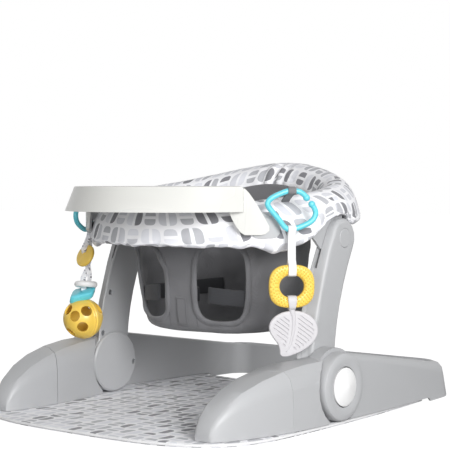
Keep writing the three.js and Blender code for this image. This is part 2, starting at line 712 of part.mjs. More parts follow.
function ringFrame() {
  const outer = -ring.frame_inset;
  const rings = ring_turns.map((turn) => squircle(ring.frame_width / 2, ring.frame_height / 2, ring.frame_power, 8).map(([o, z]) => {
    const [x, y] = ringAt(turn, outer - ring.frame_width / 2 + o);
    return [x, y, ringTop(y) - ring.frame_drop - ring.frame_height / 2 + z];
  }));
  return loft(rings, { loop: true });
}

function ringBracket() {
  const outer = arm.split + plate.thickness / 2;
  const [front, back] = [arm.pivot_back - plate.front, arm.pivot_back + plate.back];
  const layer = (drop) => [
    [flange.inner, front + flange.chamfer], [outer - flange.chamfer, front], [outer, front],
    [outer, back], [outer - flange.chamfer, back], [flange.inner, back - flange.chamfer],
  ].map(([x, y]) => [x, y, ringUnder(y) - drop]);
  const top_plate = loft([layer(fit_gap + flange.thickness), layer(fit_gap)]);
  const blade = cut(
    slabX(aboutPivot(plateOutline()), outer - plate.thickness, outer),
    drum(pivot.bore_radius, arm.inner_face, arm.outer_face, arm.pivot_back, arm.pivot_height, 20),
  );
  return join(top_plate, blade);
}

// Height of the cover's lower edge: it rises to the rear, arches over the arm tops and bunches ahead of them.
function hemHeight(y) {
  const clamp = THREE.MathUtils.clamp;
  const rise = THREE.MathUtils.smoothstep(y, hem.rise_start, hem.rise_end);
  const base = ring_level - mix(hem.front_drop, hem.back_drop, rise);
  const ahead = clamp((y - hem.arch_front) / (hem.arch_flat_front - hem.arch_front), 0, 1);
  const behind = clamp((hem.arch_back - y) / (hem.arch_back - hem.arch_flat_back), 0, 1);
  const arch = hem.arch_height * Math.sin((Math.PI / 2) * Math.min(ahead, behind)) ** 1.3;
  return base + arch - hem.bunch_drop * bump(y, hem.bunch_at, hem.bunch_width);
}

function bump(value, at, width) {
  return Math.exp(-(((value - at) / width) ** 2));
}

// Outer line of the cover's section at an angle, as [outward offset, height], from hem to inner edge.
function coverFace(turn, grow = 0) {
  const [, y0] = ringAt(turn, 0);
  const hem_z = hemHeight(y0);
  const top = coverTop(y0);
  const outer_depth = Math.min(ring.outer_depth, top - hem_z - ring.least_skirt);
  const swell = hem.swell * bump(y0, hem.swell_at, hem.swell_width) + grow;
  const tuck = byArm(y0) ? hem.arm_tuck : hem.tuck;
  const half = ring.cover_width / 2;
  const crown = steps(6).map((t) => {
    const a = Math.PI * t;
    const [depth, form] = t < 0.5 ? [outer_depth, 1.25] : [ring.inner_depth, 1];
    const ease = t < 0.5 ? swell * (1 - t * 2) : grow;
    return [(half + grow) * power(Math.cos(a), form) - half + ease, top - depth + (depth + grow) * power(Math.sin(a), form)];
  });
  return [[swell - tuck, hem_z - grow], [swell + hem.bulge, mix(hem_z, top - outer_depth, 0.5)], ...crown];
}

function byArm(y) {
  return y > hem.thin_front && y < hem.thin_back;
}

// Turns a section's offsets and heights into places, following the ring's slope across its width.
function onRing(turn, section) {
  const [, y0] = ringAt(turn, 0);
  return section.map(([offset, z]) => {
    const [x, y] = ringAt(turn, offset);
    return [x, y, z + ring.slope * (y - y0)];
  });
}

// Section of the padded cover: open underneath, where the ring's frame sits.
function coverSection(turn) {
  const [, y0] = ringAt(turn, 0);
  const face = coverFace(turn);
  const top = ringTop(y0);
  const [hem_offset, hem_z] = face[0];
  const [waist_offset, waist_z] = face[1];
  const thin = byArm(y0);
  const pad = thin ? ring.skin : ring.padding;
  const swell = waist_offset - hem.bulge;
  const frame_top = top - ring.frame_drop + fit_gap;
  const frame_back = ring.frame_inset + ring.frame_width + fit_gap * 2;
  const low = coverTop(y0) - ring.inner_drop;
  return onRing(turn, [
    ...face, [-ring.cover_width, low], [-frame_back, low], [-frame_back, frame_top],
    [-pad - ring.skin, frame_top], [swell * 0.8 - pad, frame_top - ring.skin], [swell - pad, waist_z],
    [thin ? hem_offset - ring.skin : swell - pad + hem.bulge, hem_z],
  ]);
}

// Square stem of a tray receiver, standing square to the ring's side.
function receiverStem(margin) {
  const turn = rad((receiver.start_deg + receiver.end_deg) / 2);
  const [x, y] = ringAt(turn, 0);
  const side = receiver.stem + margin * 2;
  const inner = ring.frame_inset - fit_gap * 2 + margin;
  const outer = receiver.offset + receiver.thickness / 2;
  const stem = new THREE.BoxGeometry(inner + outer, side, side);
  stem.translate((outer - inner) / 2, 0, 0);
  stem.rotateZ(Math.atan2(ring.cover_a * Math.sin(turn), ring.cover_b * Math.cos(turn)));
  stem.translate(x, y, ringUnder(y) + receiver.stem / 2 + wall);
  return stem;
}

// The room that an arm sweeps past the cover while it folds back, seen from the level ring.
function armSweep() {
  const blade = slabX(armOutline(-fit_gap, 0), arm.inner_face - fit_gap, ring.cover_a + hem.swell + arm.top_radius);
  blade.translate(0, -arm.pivot_back, -arm.pivot_height);
  const poses = steps(3).map((t) => {
    const pose = blade.clone().rotateX(-rad(fold_travel_deg) * t);
    return pose.translate(0, arm.pivot_back, arm.pivot_height);
  });
  return join(...poses);
}

function ringCover() {
  const shell = loft(ring_turns.map(coverSection), { loop: true });
  const hole = receiverStem(run_gap);
  const sweep = armSweep();
  return cut(shell, hole, mirrored(hole), sweep, mirrored(sweep));
}

// A curved plate that follows the ring's side: each column gives [angle, low, high].
function curvedPlate(columns, offset, thickness) {
  return loft(columns.map(([turn, low, high]) => [
    [offset, low], [offset + thickness, low], [offset + thickness, high], [offset, high],
  ].map(([o, z]) => [...ringAt(turn, o), z])), { section: [[0, 0], [1, 0], [1, 1], [0, 1]] });
}

function trayReceiver() {
  const columns = steps(8).map((t) => {
    const from_end = Math.abs(t - 0.5) * 2;
    const trim = receiver.round * (1 - Math.sqrt(1 - Math.max(from_end - 0.5, 0) ** 2 * 4 * 0.99));
    return [rad(mix(receiver.start_deg, receiver.end_deg, t)), receiver.bottom + trim, receiver.top - trim];
  });
  return join(curvedPlate(columns, receiver.offset, receiver.thickness), receiverStem(0));
}

add('ring_frame', ringFrame(), grey_plastic);
addPair('ring_bracket', ringBracket(), grey_plastic);
add('ring_cover', ringCover(), cover_cloth);
addPair('tray_receiver', trayReceiver(), grey_plastic);

// Ring: fabric seat with two leg openings

const bucket_turns = spread(26);

// Point at an angle on the seat's plan: an ellipse where form is one, squarer as it falls.
function seatPlan(turn, a, b, form = bucket.squareness) {
  return [a * power(Math.cos(turn), form), ring.centre + b * power(Math.sin(turn), form)];
}

// Heights of the seat from the rounded bottom up, each giving the point at an angle.
function bucketLevels(inset) {
  const rim = (turn) => {
    const [, y0] = ringAt(turn, 0);
    return coverTop(y0) + ring.slope * (ring.centre + bucket.rim_b * Math.sin(turn) - y0) - bucket.rim_below;
  };
  const sides = steps(5).map((t) => (turn) => {
    const z = mix(bucket.bottom + bucket.bottom_round, rim(turn), t);
    const up = Math.min((z - bucket.bottom) / (bucket.waist_height - bucket.bottom), 1);
    const over = Math.max((z - bucket.waist_height) / (rim(turn) - bucket.waist_height), 0) ** 1.2;
    const soft = Math.sin((Math.PI / 2) * up);
    const a = mix(mix(bucket.foot_a, bucket.waist_a, soft), bucket.rim_a, over) - inset;
    const b = mix(mix(bucket.foot_b, bucket.waist_b, soft), bucket.rim_b, over) - inset;
    return [...seatPlan(turn, a, b, mix(bucket.squareness, 1, over)), z];
  });
  const bottom = steps(2).slice(0, -1).map((t) => (turn) => {
    const [x, y] = sides[0](turn);
    const lean = (Math.PI / 2) * t;
    const k = 1 - (bucket.bottom_round * (1 - Math.sin(lean))) / Math.hypot(x, y - ring.centre);
    const z = bucket.bottom + inset + (bucket.bottom_round - inset) * (1 - Math.cos(lean));
    return [x * k, ring.centre + (y - ring.centre) * k, z];
  });
  return [...bottom, ...sides];
}

function bucketBody(inset, rise) {
  const levels = bucketLevels(inset);
  const rings = levels.map((at) => bucket_turns.map(at));
  if (rise) rings.push(rings.at(-1).map(([x, y, z]) => [x, y, z + rise]));
  return loft(rings);
}

function legHole(side) {
  const reach = bucket.rim_a + cut_over;
  const near = bucket.foot_b / 3;
  const outline = squircle(bucket.hole_width / 2, bucket.hole_height / 2, 2.6, 20);
  const hole = slabX(outline.map(([w, h]) => [w, bucket.hole_middle + h]), near, reach);
  hole.rotateZ(-Math.PI / 2 + side * rad(bucket.hole_angle_deg));
  hole.translate(0, ring.centre, 0);
  return hole;
}

function seatBucket() {
  return cut(bucketBody(0, 0), bucketBody(bucket.skin, cut_over), legHole(1), legHole(-1));
}
add('seat_bucket', seatBucket(), seat_cloth);

// Ring: harness inside the seat

// The seat's inner wall at a height below its waist: half width and half depth.
function innerWall(z) {
  const up = Math.min((z - bucket.bottom) / (bucket.waist_height - bucket.bottom), 1);
  const soft = Math.sin((Math.PI / 2) * up);
  return [[bucket.foot_a, bucket.waist_a], [bucket.foot_b, bucket.waist_b]].map((ends) => mix(...ends, soft) - bucket.skin);
}

// A band that lies along the seat's inner wall between two angles, at a height.
function innerBand(start_deg, end_deg, z, width) {
  const at = (turn, offset, height) => {
    const [a, b] = innerWall(height);
    return [...seatPlan(turn, a - offset, b - offset), height];
  };
  const [near, far] = [strap_gap, strap_gap + strap_thickness];
  const rings = steps(14).map((t) => rad(mix(start_deg, end_deg, t))).map((turn) => [
    at(turn, near, z - width / 2), at(turn, near, z + width / 2), at(turn, far, z + width / 2), at(turn, far, z - width / 2),
  ]);
  return loft(rings, { section: [[0, 0], [0, 1], [1, 1], [1, 0]] });
}

const buckle_front = ring.centre - innerWall(waist_strap.height - buckle.height / 2)[1] + strap_gap;

function rounded(width, height, radius, count = 3) {
  const corners = [[1, 1], [-1, 1], [-1, -1], [1, -1]];
  return corners.flatMap(([sx, sy], i) => steps(count).map((t) => {
    const turn = (Math.PI / 2) * (i + t);
    return [
      sx * (width / 2 - radius) + radius * Math.cos(turn), sy * (height / 2 - radius) + radius * Math.sin(turn),
    ];
  }));
}

function harnessBuckle() {
  const outline = rounded(buckle.width, buckle.height, buckle.round);
  const layers = [[0, 1.5], [1.5, 0], [buckle.thickness - 3, 0], [buckle.thickness, 3]];
  const rings = layers.map(([depth, inset]) => outline.map(([x, z]) => [
    x * (1 - (inset * 2) / buckle.width), buckle_front + depth, waist_strap.height + z * (1 - (inset * 2) / buckle.height),
  ]));
  return loft(rings, { section: outline });
}

function crotchStrap() {
  const low = bucket.bottom + bucket.skin + bucket.bottom_round;
  const high = waist_strap.height - buckle.height / 2 - fit_gap;
  const half = crotch_strap.width / 2;
  const front = (z) => ring.centre - innerWall(z)[1] + strap_gap;
  const rings = steps(3).map((t) => mix(low, high, t)).map((z) => [
    [-half, front(z), z], [half, front(z), z], [half, front(z) + strap_thickness, z], [-half, front(z) + strap_thickness, z],
  ]);
  return loft(rings);
}
addPair('waist_strap', innerBand(-90 + waist_strap.end_deg, 62, waist_strap.height, waist_strap.width), webbing_cloth);
add('crotch_strap', crotchStrap(), webbing_cloth);
add('harness_buckle', harnessBuckle(), black_plastic);

// Tray

// Plan of the tray: the front of an ellipse about the ring's centre, closed by a straight rear edge.
function trayPlan(inset, flare = 0) {
  const back = -tray.end_back - inset;
  const depth = ring.centre + tray.front_reach - inset;
  const half = tray.half_width - inset;
  const start = Math.asin((ring.centre - back + tray.end_round / 2) / depth);
  const front = steps(16).map((t) => {
    const turn = mix(-start, -Math.PI + start, t);
    const y = ring.centre + depth * Math.sin(turn);
    const out = flare * THREE.MathUtils.smoothstep(-y, tray.flare_start, tray.flare_full);
    return [(half + out) * Math.cos(turn), y + out * Math.sin(turn)];
  });
  const [end_x, end_y] = front.at(-1);
  const corner = steps(3).slice(1).map((t) => {
    const turn = (t * Math.PI) / 2;
    return [end_x + tray.end_round * (1 - Math.cos(turn)), mix(end_y, back, Math.sin(turn))];
  });
  return [...front, ...corner, ...corner.slice().reverse().map(([x, y]) => [-x, y])];
}

function trayLayers(layers) {
  const rings = layers.map(([inset, flare, z]) => trayPlan(inset, flare).map(([x, y]) => [x, y, z]));
  return loft(rings, { section: trayPlan(0) });
}

function mouth(grow, low, high) {
  const outline = circle(1, 0, 0, 36).map(([x, y]) => [(tray.mouth_a + grow) * x, (tray.mouth_b + grow) * y]);
  return slabZ(outline, low, high);
}

// One ear of the tray: a lobe that runs back and down over the receiver on the ring's side.
function trayEar() {
  const columns = steps(10).map((t) => {
    const low = ear.bottom + ear.front_lift * Math.max(1 - t / 0.4, 0) ** 1.6 + ear.end_lift * Math.max(t / 0.2 - 4, 0) ** 2;
    const fall = Math.max((t - ear.top_share) / (1 - ear.top_share), 0) ** 1.2;
    return [rad(mix(ear.start_deg, ear.end_deg, t)), low, mix(tray.top - tray.rim_round, ear.end_top, fall)];
  });
  return curvedPlate(columns, receiver.offset + receiver.thickness + ear.gap, ear.thickness);
}

// The room that the ring and its cover take up under the tray, cut along the ring's slope.
function ringRoom() {
  const around = spread(40).map((turn) => ringAt(turn, hem.bulge + run_gap));
  const rings = [
    around.map(([x, y]) => [x, y, ear.bottom - cut_over]),
    around.map(([x, y]) => [x, y, coverTop(y) + tray.rest_gap]),
  ];
  return loft(rings, { section: around });
}

function activityTray() {
  const floor_z = tray.top - tray.recess;
  const flare_z = mix(tray.bottom, tray.top, 0.4);
  const soft = tray.rim_round * 0.3;
  const blank = trayLayers([
    [0, tray.flare, tray.bottom], [0, tray.flare * 0.55, flare_z], [0, 0, tray.top - tray.rim_round],
    [soft, 0, tray.top - soft], [tray.rim_round, 0, tray.top],
  ]);
  const recess = cut(trayLayers([
    [tray.rim + tray.lip_round, 0, floor_z], [tray.rim, 0, floor_z + tray.lip_round], [tray.rim, 0, tray.top + cut_over],
  ]), mouth(tray.rim, floor_z - cut_over, tray.top + cut_over * 2));
  const hollow = trayLayers([
    [wall, tray.flare, tray.bottom - cut_over], [wall, tray.flare * 0.55, flare_z], [wall, 0, floor_z - wall],
  ]);
  const opening = mouth(0, tray.bottom - cut_over * 2, tray.top + cut_over);
  const shell = cut(blank, recess, hollow, opening);
  const side = trayEar();
  return cut(join(shell, side, mirrored(side)), ringRoom());
}
add('tray', activityTray(), tray_plastic);

// Hanging toys

// Turns a shape built about the toy's own upright axis, with its face towards -Y, into its place.
function hang(geometry, place, turn_deg) {
  const placed = geometry.clone();
  placed.rotateZ(rad(turn_deg));
  placed.translate(place.x, place.y, 0);
  return placed;
}

class LinkCurve extends THREE.Curve {
  constructor(bottom) {
    super();
    this.bottom = bottom;
  }
  getPoint(t, target = new THREE.Vector3()) {
    const reach = (Math.PI * 2 * (1 - link.gap_share)) * t;
    const turn = rad(link.gap_deg) + Math.PI * link.gap_share + reach;
    const power_2 = 2 / link.power;
    const half_x = link.width / 2 - link.bar;
    const half_z = link.height / 2 - link.bar;
    return target.set(half_x * power(Math.cos(turn), power_2), 0, this.bottom + half_z + half_z * power(Math.sin(turn), power_2));
  }
}

function toyLink(bottom) {
  const curve = new LinkCurve(bottom);
  const bar = tube(curve, link.bar, 22, 6);
  const tips = [0, 1].map((t) => {
    const at = curve.getPoint(t);
    const tip = new THREE.SphereGeometry(link.tip_radius, 6, 4);
    tip.translate(at.x, at.y, at.z);
    return tip;
  });
  return join(bar, ...tips);
}

// A ribbon with an eye at each end, seen from its edge: [depth, height] pairs, cut from one slab.
function ribbonSolid(top_eye, low_eye, width, thickness) {
  const strand = slabX([
    [-thickness, low_eye.z], [thickness, low_eye.z], [thickness, top_eye.z], [-thickness, top_eye.z],
  ], -width / 2, width / 2);
  const outside = [top_eye, low_eye].map((eye) => eyeSlab(eye, thickness, width));
  const inside = [top_eye, low_eye].map((eye) => eyeSlab(eye, 0, width + cut_over));
  return cut(join(strand, ...outside), ...inside);
}

function eyeSlab(eye, grow, width) {
  const outline = squircle(eye.half_depth + grow, eye.half_height + grow, eye.power, 16).map(([y, z]) => [y, eye.z + z]);
  return slabX(outline, -width / 2, width / 2);
}

// Loop of cloth that carries a link: an eye round the link's top bar and a tail seated on the cover.
function toyLoop(place) {
  const eye = { z: place.link_bottom + link.height - link.bar * 2, half_depth: link.bar + fit_gap, power: 2 };
  eye.half_height = eye.half_depth;
  const over = eye.z + eye.half_height;
  const reach = coverReach(place);
  const tail = slabX([
    [0, over], [0, over + strap_thickness], [reach, over - loop.fall + strap_thickness], [reach, over - loop.fall],
  ], -loop.width / 2, loop.width / 2);
  const bend = join(eyeSlab(eye, strap_thickness, loop.width), tail);
  const band = cut(bend, eyeSlab(eye, 0, loop.width + cut_over));
  return cut(hang(band, place, place.turn_deg), coverRoom());
}

// How far behind a toy's place the ring lies, measured along the toy's own depth.
function coverReach(place) {
  const inward = rad(place.turn_deg + 90);
  const at = (d) => Math.hypot(
    (place.x + d * Math.cos(inward)) / ring.cover_a, (place.y + d * Math.sin(inward) - ring.centre) / ring.cover_b,
  );
  let reach = 0;
  while (at(reach) > 1) reach += fit_gap;
  return reach + loop.lap;
}

// The cover's outer form with its fitting gap, as a tool that trims what lies on it.
function coverRoom() {
  return loft(ring_turns.map((turn) => {
    const face = coverFace(turn, fit_gap * 2);
    return onRing(turn, [...face, [-ring.cover_width / 2, face[0][1]]]);
  }), { loop: true });
}

function placedLink(place) {
  return hang(toyLink(place.link_bottom), place, place.turn_deg);
}

// Ring-shaped teether with a scalloped rim, built from sections about its own centre.
function teetherRing() {
  const half = teether.thickness / 2;
  const rings = spread(teether.bumps * 2).map((turn, i) => {
    const [c, s] = [power(Math.cos(turn), 2 / teether.power), power(Math.sin(turn), 2 / teether.power)];
    const rim = i % 2 === 0 ? 0 : teether.bump;
    const inner = [teether.hole_x * c, teether.hole_z * s];
    const outer = [(teether.outer_x - rim) * c, (teether.outer_z - rim) * s];
    const soft = 0.14;
    const at = (k, y) => [mix(inner[0], outer[0], k), y, teether.centre + mix(inner[1], outer[1], k)];
    return [
      at(0, -half * 0.6), at(soft, -half), at(1 - soft, -half), at(1, 0),
      at(1 - soft, half), at(soft, half), at(0, half * 0.6),
    ];
  });
  return hang(loft(rings, { loop: true }), right_toy, right_toy.turn_deg);
}

const teether_bar = {
  half: (teether.outer_z - teether.hole_z) / 2,
  mid: (teether.outer_z + teether.hole_z) / 2,
};

function barEye(z, margin) {
  return { z, half_depth: teether.thickness / 2 + fit_gap, half_height: teether_bar.half + margin, power: 8 };
}

function linkEye(place) {
  return { z: place.link_bottom, half_depth: link.bar + fit_gap, half_height: link.bar + fit_gap, power: 2 };
}

function rightRibbon() {
  const low = barEye(teether.centre + teether_bar.mid, leaf.play);
  return hang(
    ribbonSolid(linkEye(right_toy), low, ribbon_size.width, ribbon_size.thickness), right_toy, right_toy.turn_deg,
  );
}

// Leaf-shaped teether: a pointed blade with a raised midrib, slanted slots, and a stem that loops the ring.
function leafTeether() {
  const height = leaf.top - leaf.bottom;
  const half = (t) => (leaf.width / 2) * Math.sin(Math.PI * t ** 0.8) ** 0.75;
  const right = steps(12).slice(1, -1).map((t) => [half(t), leaf.bottom + height * t]);
  const left = [...right].reverse().map(([x, z]) => [-x, z]);
  const outline = [[0, leaf.bottom], ...right, [0, leaf.top], ...left];
  const blade = slabY(outline, -leaf.thickness / 2 + leaf.rib / 2, leaf.thickness / 2 - leaf.rib / 2);
  const rib = slabY([
    [-leaf.rib / 2, leaf.bottom + leaf.rib * 2], [leaf.rib / 2, leaf.bottom + leaf.rib * 2],
    [leaf.rib, leaf.top + leaf.rib], [-leaf.rib, leaf.top + leaf.rib],
  ], -leaf.thickness / 2, leaf.thickness / 2);
  const slots = steps(leaf.slots - 1).flatMap((t) => [-1, 1].map((side) => {
    const z = leaf.bottom + height * mix(0.24, 0.74, t);
    const reach = half(mix(0.24, 0.74, t)) * 0.74;
    const [x0, x1] = [leaf.rib * 2, reach];
    const rise = (x1 - x0) * 0.5;
    return slabY([
      [side * x0, z], [side * x0, z + leaf.slot_width], [side * x1, z + rise + leaf.slot_width], [side * x1, z + rise],
    ], -leaf.thickness, leaf.thickness);
  }));
  const eye = barEye(teether.centre - teether_bar.mid, leaf.play);
  const stem = join(eyeSlab(eye, leaf.rib, leaf.stem_width), slabX([
    [-leaf.rib / 2, leaf.top - leaf.rib * 2], [leaf.rib / 2, leaf.top - leaf.rib * 2],
    [leaf.rib / 2, eye.z - eye.half_height - leaf.rib / 2], [-leaf.rib / 2, eye.z - eye.half_height - leaf.rib / 2],
  ], -leaf.stem_width / 2, leaf.stem_width / 2));
  const whole = cut(join(cut(blade, ...slots), rib, stem), eyeSlab(eye, 0, leaf.stem_width + cut_over));
  return hang(whole, right_toy, right_toy.turn_deg);
}

function slabY(points, low, high) {
  return loft([low, high].map((y) => points.map(([x, z]) => [x, y, z])), { section: points });
}

// The left cord: a ribbon with an eye on its link, running through the beads to a knot inside the ball.
function leftRibbon(margin) {
  const ball_top = ball.centre + ball.radius;
  const width = ribbon_size.width + margin * 2;
  const thickness = ribbon_size.thickness + margin;
  const strand = slabX([
    [-thickness, ball_top - ball.skin * 2], [thickness, ball_top - ball.skin * 2],
    [thickness, left_toy.link_bottom - link.bar], [-thickness, left_toy.link_bottom - link.bar],
  ], -width / 2, width / 2);
  if (margin) return hang(strand, left_toy, left_toy.turn_deg);
  const eye = linkEye(left_toy);
  const end = new THREE.BoxGeometry(knot.width, knot.depth, knot.height);
  end.translate(0, 0, knotTop() - knot.height / 2);
  const shape = join(strand, end, eyeSlab(eye, ribbon_size.thickness, width));
  return hang(cut(shape, eyeSlab(eye, 0, width + cut_over)), left_toy, left_toy.turn_deg);
}

// Just under the ball's skin, where the knot's corners clear the curve.
function knotTop() {
  const inner = ball.radius - ball.skin;
  return ball.centre + Math.sqrt(inner ** 2 - (knot.width / 2) ** 2 - (knot.depth / 2) ** 2) - run_gap;
}

function bead(geometry, tilt_deg, centre) {
  geometry.rotateY(rad(tilt_deg));
  geometry.translate(0, 0, centre);
  return cut(hang(geometry, left_toy, left_toy.bead_turn_deg), leftRibbon(fit_gap));
}

function discBead() {
  const { radius, thickness, round } = disc_bead;
  const low = -thickness / 2;
  const profile = [[0, low], [radius - round, low], [radius, low + round], [radius, -low - round], [radius - round, -low], [0, -low]];
  const disc = new THREE.LatheGeometry(profile.map(([r, z]) => new THREE.Vector2(r, z)), 20);
  return bead(disc.rotateX(Math.PI / 2), disc_bead.tilt_deg, disc_bead.centre);
}

function ringBead() {
  return bead(new THREE.TorusGeometry(ring_bead.radius, ring_bead.tube, 6, 20), ring_bead.tilt_deg, ring_bead.centre);
}

function blockBead() {
  const outline = rounded(block_bead.width, block_bead.height, block_bead.round);
  const half = block_bead.depth / 2;
  const inset = block_bead.round / 3;
  const rings = [[-half, inset], [-half + inset, 0], [half - inset, 0], [half, inset]].map(([y, shrink]) => outline.map(([x, z]) => [
    x * (1 - (shrink * 2) / block_bead.width), y, z * (1 - (shrink * 2) / block_bead.height),
  ]));
  return bead(loft(rings, { section: outline }), block_bead.tilt_deg, block_bead.centre);
}

// Rattle ball: a thin shell with a seam groove at its widest and round holes above and below it.
function rattleBall() {
  const holes = [-1, 1].flatMap((half) => spread(ball.per_row).map((turn) => {
    const hole = new THREE.CylinderGeometry(ball.hole_radius, ball.hole_radius, ball.radius, 6);
    hole.rotateZ(Math.PI / 2).translate(ball.radius, 0, 0).rotateY(-half * rad(ball.rows_deg));
    return hole.rotateZ(turn + (half * Math.PI) / ball.per_row / 2);
  }));
  const seam = turned([
    [-ball.seam_width / 2, ball.radius - ball.seam], [ball.seam_width / 2, ball.radius - ball.seam],
    [ball.seam_width / 2, ball.radius + cut_over], [-ball.seam_width / 2, ball.radius + cut_over],
  ], 0, 0, 16).rotateY(Math.PI / 2);
  const outside = new THREE.SphereGeometry(ball.radius, 14, 8).rotateX(Math.PI / 2);
  const inside = new THREE.SphereGeometry(ball.radius - ball.skin, 8, 6).rotateX(Math.PI / 2);
  const shell = cut(outside, inside, seam, ...holes);
  shell.translate(0, 0, ball.centre);
  return cut(hang(shell, left_toy, left_toy.bead_turn_deg), leftRibbon(fit_gap));
}

add('toy_loop_right', toyLoop(right_toy), loop_cloth);
add('toy_loop_left', toyLoop(left_toy), loop_cloth);
add('toy_link_right', placedLink(right_toy), teal_plastic);
add('toy_link_left', placedLink(left_toy), teal_plastic);
add('ribbon_right', rightRibbon(), ribbon_cloth);
add('teether_ring', teetherRing(), yellow_plastic);
add('leaf_teether', leafTeether(), leaf_plastic);
add('ribbon_left', leftRibbon(0), ribbon_cloth);
add('disc_bead', discBead(), yellow_plastic);
add('ring_bead', ringBead(), white_plastic);
add('block_bead', blockBead(), teal_plastic);
add('rattle_ball', rattleBall(), yellow_plastic);

body.position.y = (mat.front_reach - frame.rear_reach) / 2;

export default group;
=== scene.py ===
"""Infant floor seat: a padded ring with a hanging cloth seat, arms on a floor base, a tray and toys."""

import json
import logging
import math
from dataclasses import dataclass, field
from enum import Enum
from typing import Callable, Optional, Sequence

import bmesh
import bpy
import numpy as np
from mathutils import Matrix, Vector, noise


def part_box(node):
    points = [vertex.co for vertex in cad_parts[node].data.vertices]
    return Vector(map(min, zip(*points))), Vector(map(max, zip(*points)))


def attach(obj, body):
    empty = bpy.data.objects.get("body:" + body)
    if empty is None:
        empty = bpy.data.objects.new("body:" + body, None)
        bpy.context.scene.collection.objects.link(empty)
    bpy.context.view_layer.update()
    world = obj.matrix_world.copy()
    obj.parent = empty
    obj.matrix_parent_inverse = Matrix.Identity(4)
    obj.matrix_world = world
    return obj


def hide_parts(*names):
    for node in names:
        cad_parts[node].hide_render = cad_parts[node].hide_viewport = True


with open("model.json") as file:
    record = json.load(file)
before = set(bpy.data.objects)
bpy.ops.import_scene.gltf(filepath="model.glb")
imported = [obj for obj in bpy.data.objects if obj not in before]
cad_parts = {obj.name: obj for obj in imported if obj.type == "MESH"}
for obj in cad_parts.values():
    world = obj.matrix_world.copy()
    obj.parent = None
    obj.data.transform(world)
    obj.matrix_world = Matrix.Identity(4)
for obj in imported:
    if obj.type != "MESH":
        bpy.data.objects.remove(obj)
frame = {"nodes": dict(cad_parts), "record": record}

LOG = logging.getLogger("floor_seat")

MM = 0.001
BODY_SHIFT = -42.5      # mm along Y from the seat's own frame, with the hubs at zero, to the row frame

CAMERA_TURN = 0.681     # the camera's angle about Z in radians, which the left toy faces too
AXIS_GAP = 0.01         # mm left open at the axis of a turned piece
EDGE_ANGLE = 32.0       # degrees past which an edge of a moulded piece is sharp

Spot = tuple[float, float]
Point = tuple[float, float, float]
Colour = tuple[float, float, float, float]
Rows = np.ndarray
Object = bpy.types.Object
Socket = bpy.types.NodeSocket


class Side(Enum):
    """The two sides of the seat, with the sign of X on each."""

    RIGHT = 1
    LEFT = -1

    @property
    def word(self) -> str:
        """The side's name as piece names carry it."""
        return self.name.lower()


# Shapes


def mix(a: float, b: float, t: float) -> float:
    """Returns the value a share t of the way from a to b."""
    return a + (b - a) * t


def power(value: float, exponent: float) -> float:
    """Returns the value raised to the exponent, with its sign kept."""
    return math.copysign(abs(value) ** exponent, value)


def bump(value: float, at: float, width: float) -> float:
    """Returns a bell of height one at a place along a line."""
    return math.exp(-(((value - at) / width) ** 2))


def climb(value: float, low: float, high: float) -> float:
    """Returns zero up to low, one from high on, and a straight rise between."""
    return min(max((value - low) / (high - low), 0.0), 1.0)


def ease(value: float, low: float, high: float) -> float:
    """Returns zero up to low, one from high on, and a smooth rise between."""
    t = climb(value, low, high)
    return t * t * (3 - 2 * t)


def ripple(point: Point, size: float, seed: float) -> float:
    """Returns smooth noise.

    Args:
        point: where it is taken, in millimetres.
        size: the spacing of its waves, in millimetres.
        seed: a shift that gives another pattern.

    Returns:
        A value from about -1 to 1.
    """
    x, y, z = (part / size for part in point)
    return noise.noise(Vector((x + seed, y - seed, z + seed * 2)))


def superellipse(half_x: float, half_y: float, exponent: float, count: int) -> list[Spot]:
    """Returns points round a closed superellipse.

    Args:
        half_x: half its width.
        half_y: half its height.
        exponent: 2 for an ellipse, more for a squarer curve.
        count: number of points.

    Returns:
        The points, anticlockwise.
    """
    turns = [2 * math.pi * i / count for i in range(count)]
    form = 2 / exponent
    return [(half_x * power(math.cos(a), form), half_y * power(math.sin(a), form)) for a in turns]


def rounded_box(width: float, height: float, radius: float, steps: int = 5) -> list[Spot]:
    """Returns points round a rectangle with round corners.

    Args:
        width: its width.
        height: its height.
        radius: of the corners.
        steps: number of chords in a corner.

    Returns:
        The points, anticlockwise.
    """
    corners = [(1, 1), (-1, 1), (-1, -1), (1, -1)]
    points = []
    for i, (sx, sy) in enumerate(corners):
        for k in range(steps + 1):
            a = math.pi / 2 * (i + k / steps)
            x, y = sx * (width / 2 - radius), sy * (height / 2 - radius)
            points.append((x + radius * math.cos(a), y + radius * math.sin(a)))
    return points


def to_row(points: Rows) -> Rows:
    """Returns points of the seat's own frame, in millimetres, as metres in the row frame."""
    moved = np.asarray(points, float).copy()
    moved[..., 1] += BODY_SHIFT
    return moved * MM


def new_object(name: str, vertices: Rows, faces: Sequence[Sequence[int]],
               uv: Optional[Sequence[Sequence[Spot]]] = None) -> Object:
    """Makes a mesh object from points in the row frame.

    Args:
        name: the object's name.
        vertices: its points, in metres.
        faces: the point numbers of each face.
        uv: for each face, the place of each of its corners on the cloth, in metres.

    Returns:
        The object, smooth-shaded and linked to the scene.
    """
    mesh = bpy.data.meshes.new(name)
    mesh.from_pydata([tuple(v) for v in vertices], [], [tuple(f) for f in faces])
    if uv is not None:
        layer = mesh.uv_layers.new(name="cloth")
        layer.data.foreach_set("uv", np.array([c for corners in uv for c in corners], float).ravel())
    mesh.polygons.foreach_set("use_smooth", [True] * len(mesh.polygons))
    made = bpy.data.objects.new(name, mesh)
    bpy.context.scene.collection.objects.link(made)
    return made


def face_out(made: Object) -> Object:
    """Turns the faces of a closed mesh outwards.

    Args:
        made: the object.

    Returns:
        The same object.
    """
    shape = bmesh.new()
    shape.from_mesh(made.data)
    bmesh.ops.recalc_face_normals(shape, faces=shape.faces)
    shape.to_mesh(made.data)
    shape.free()
    return made


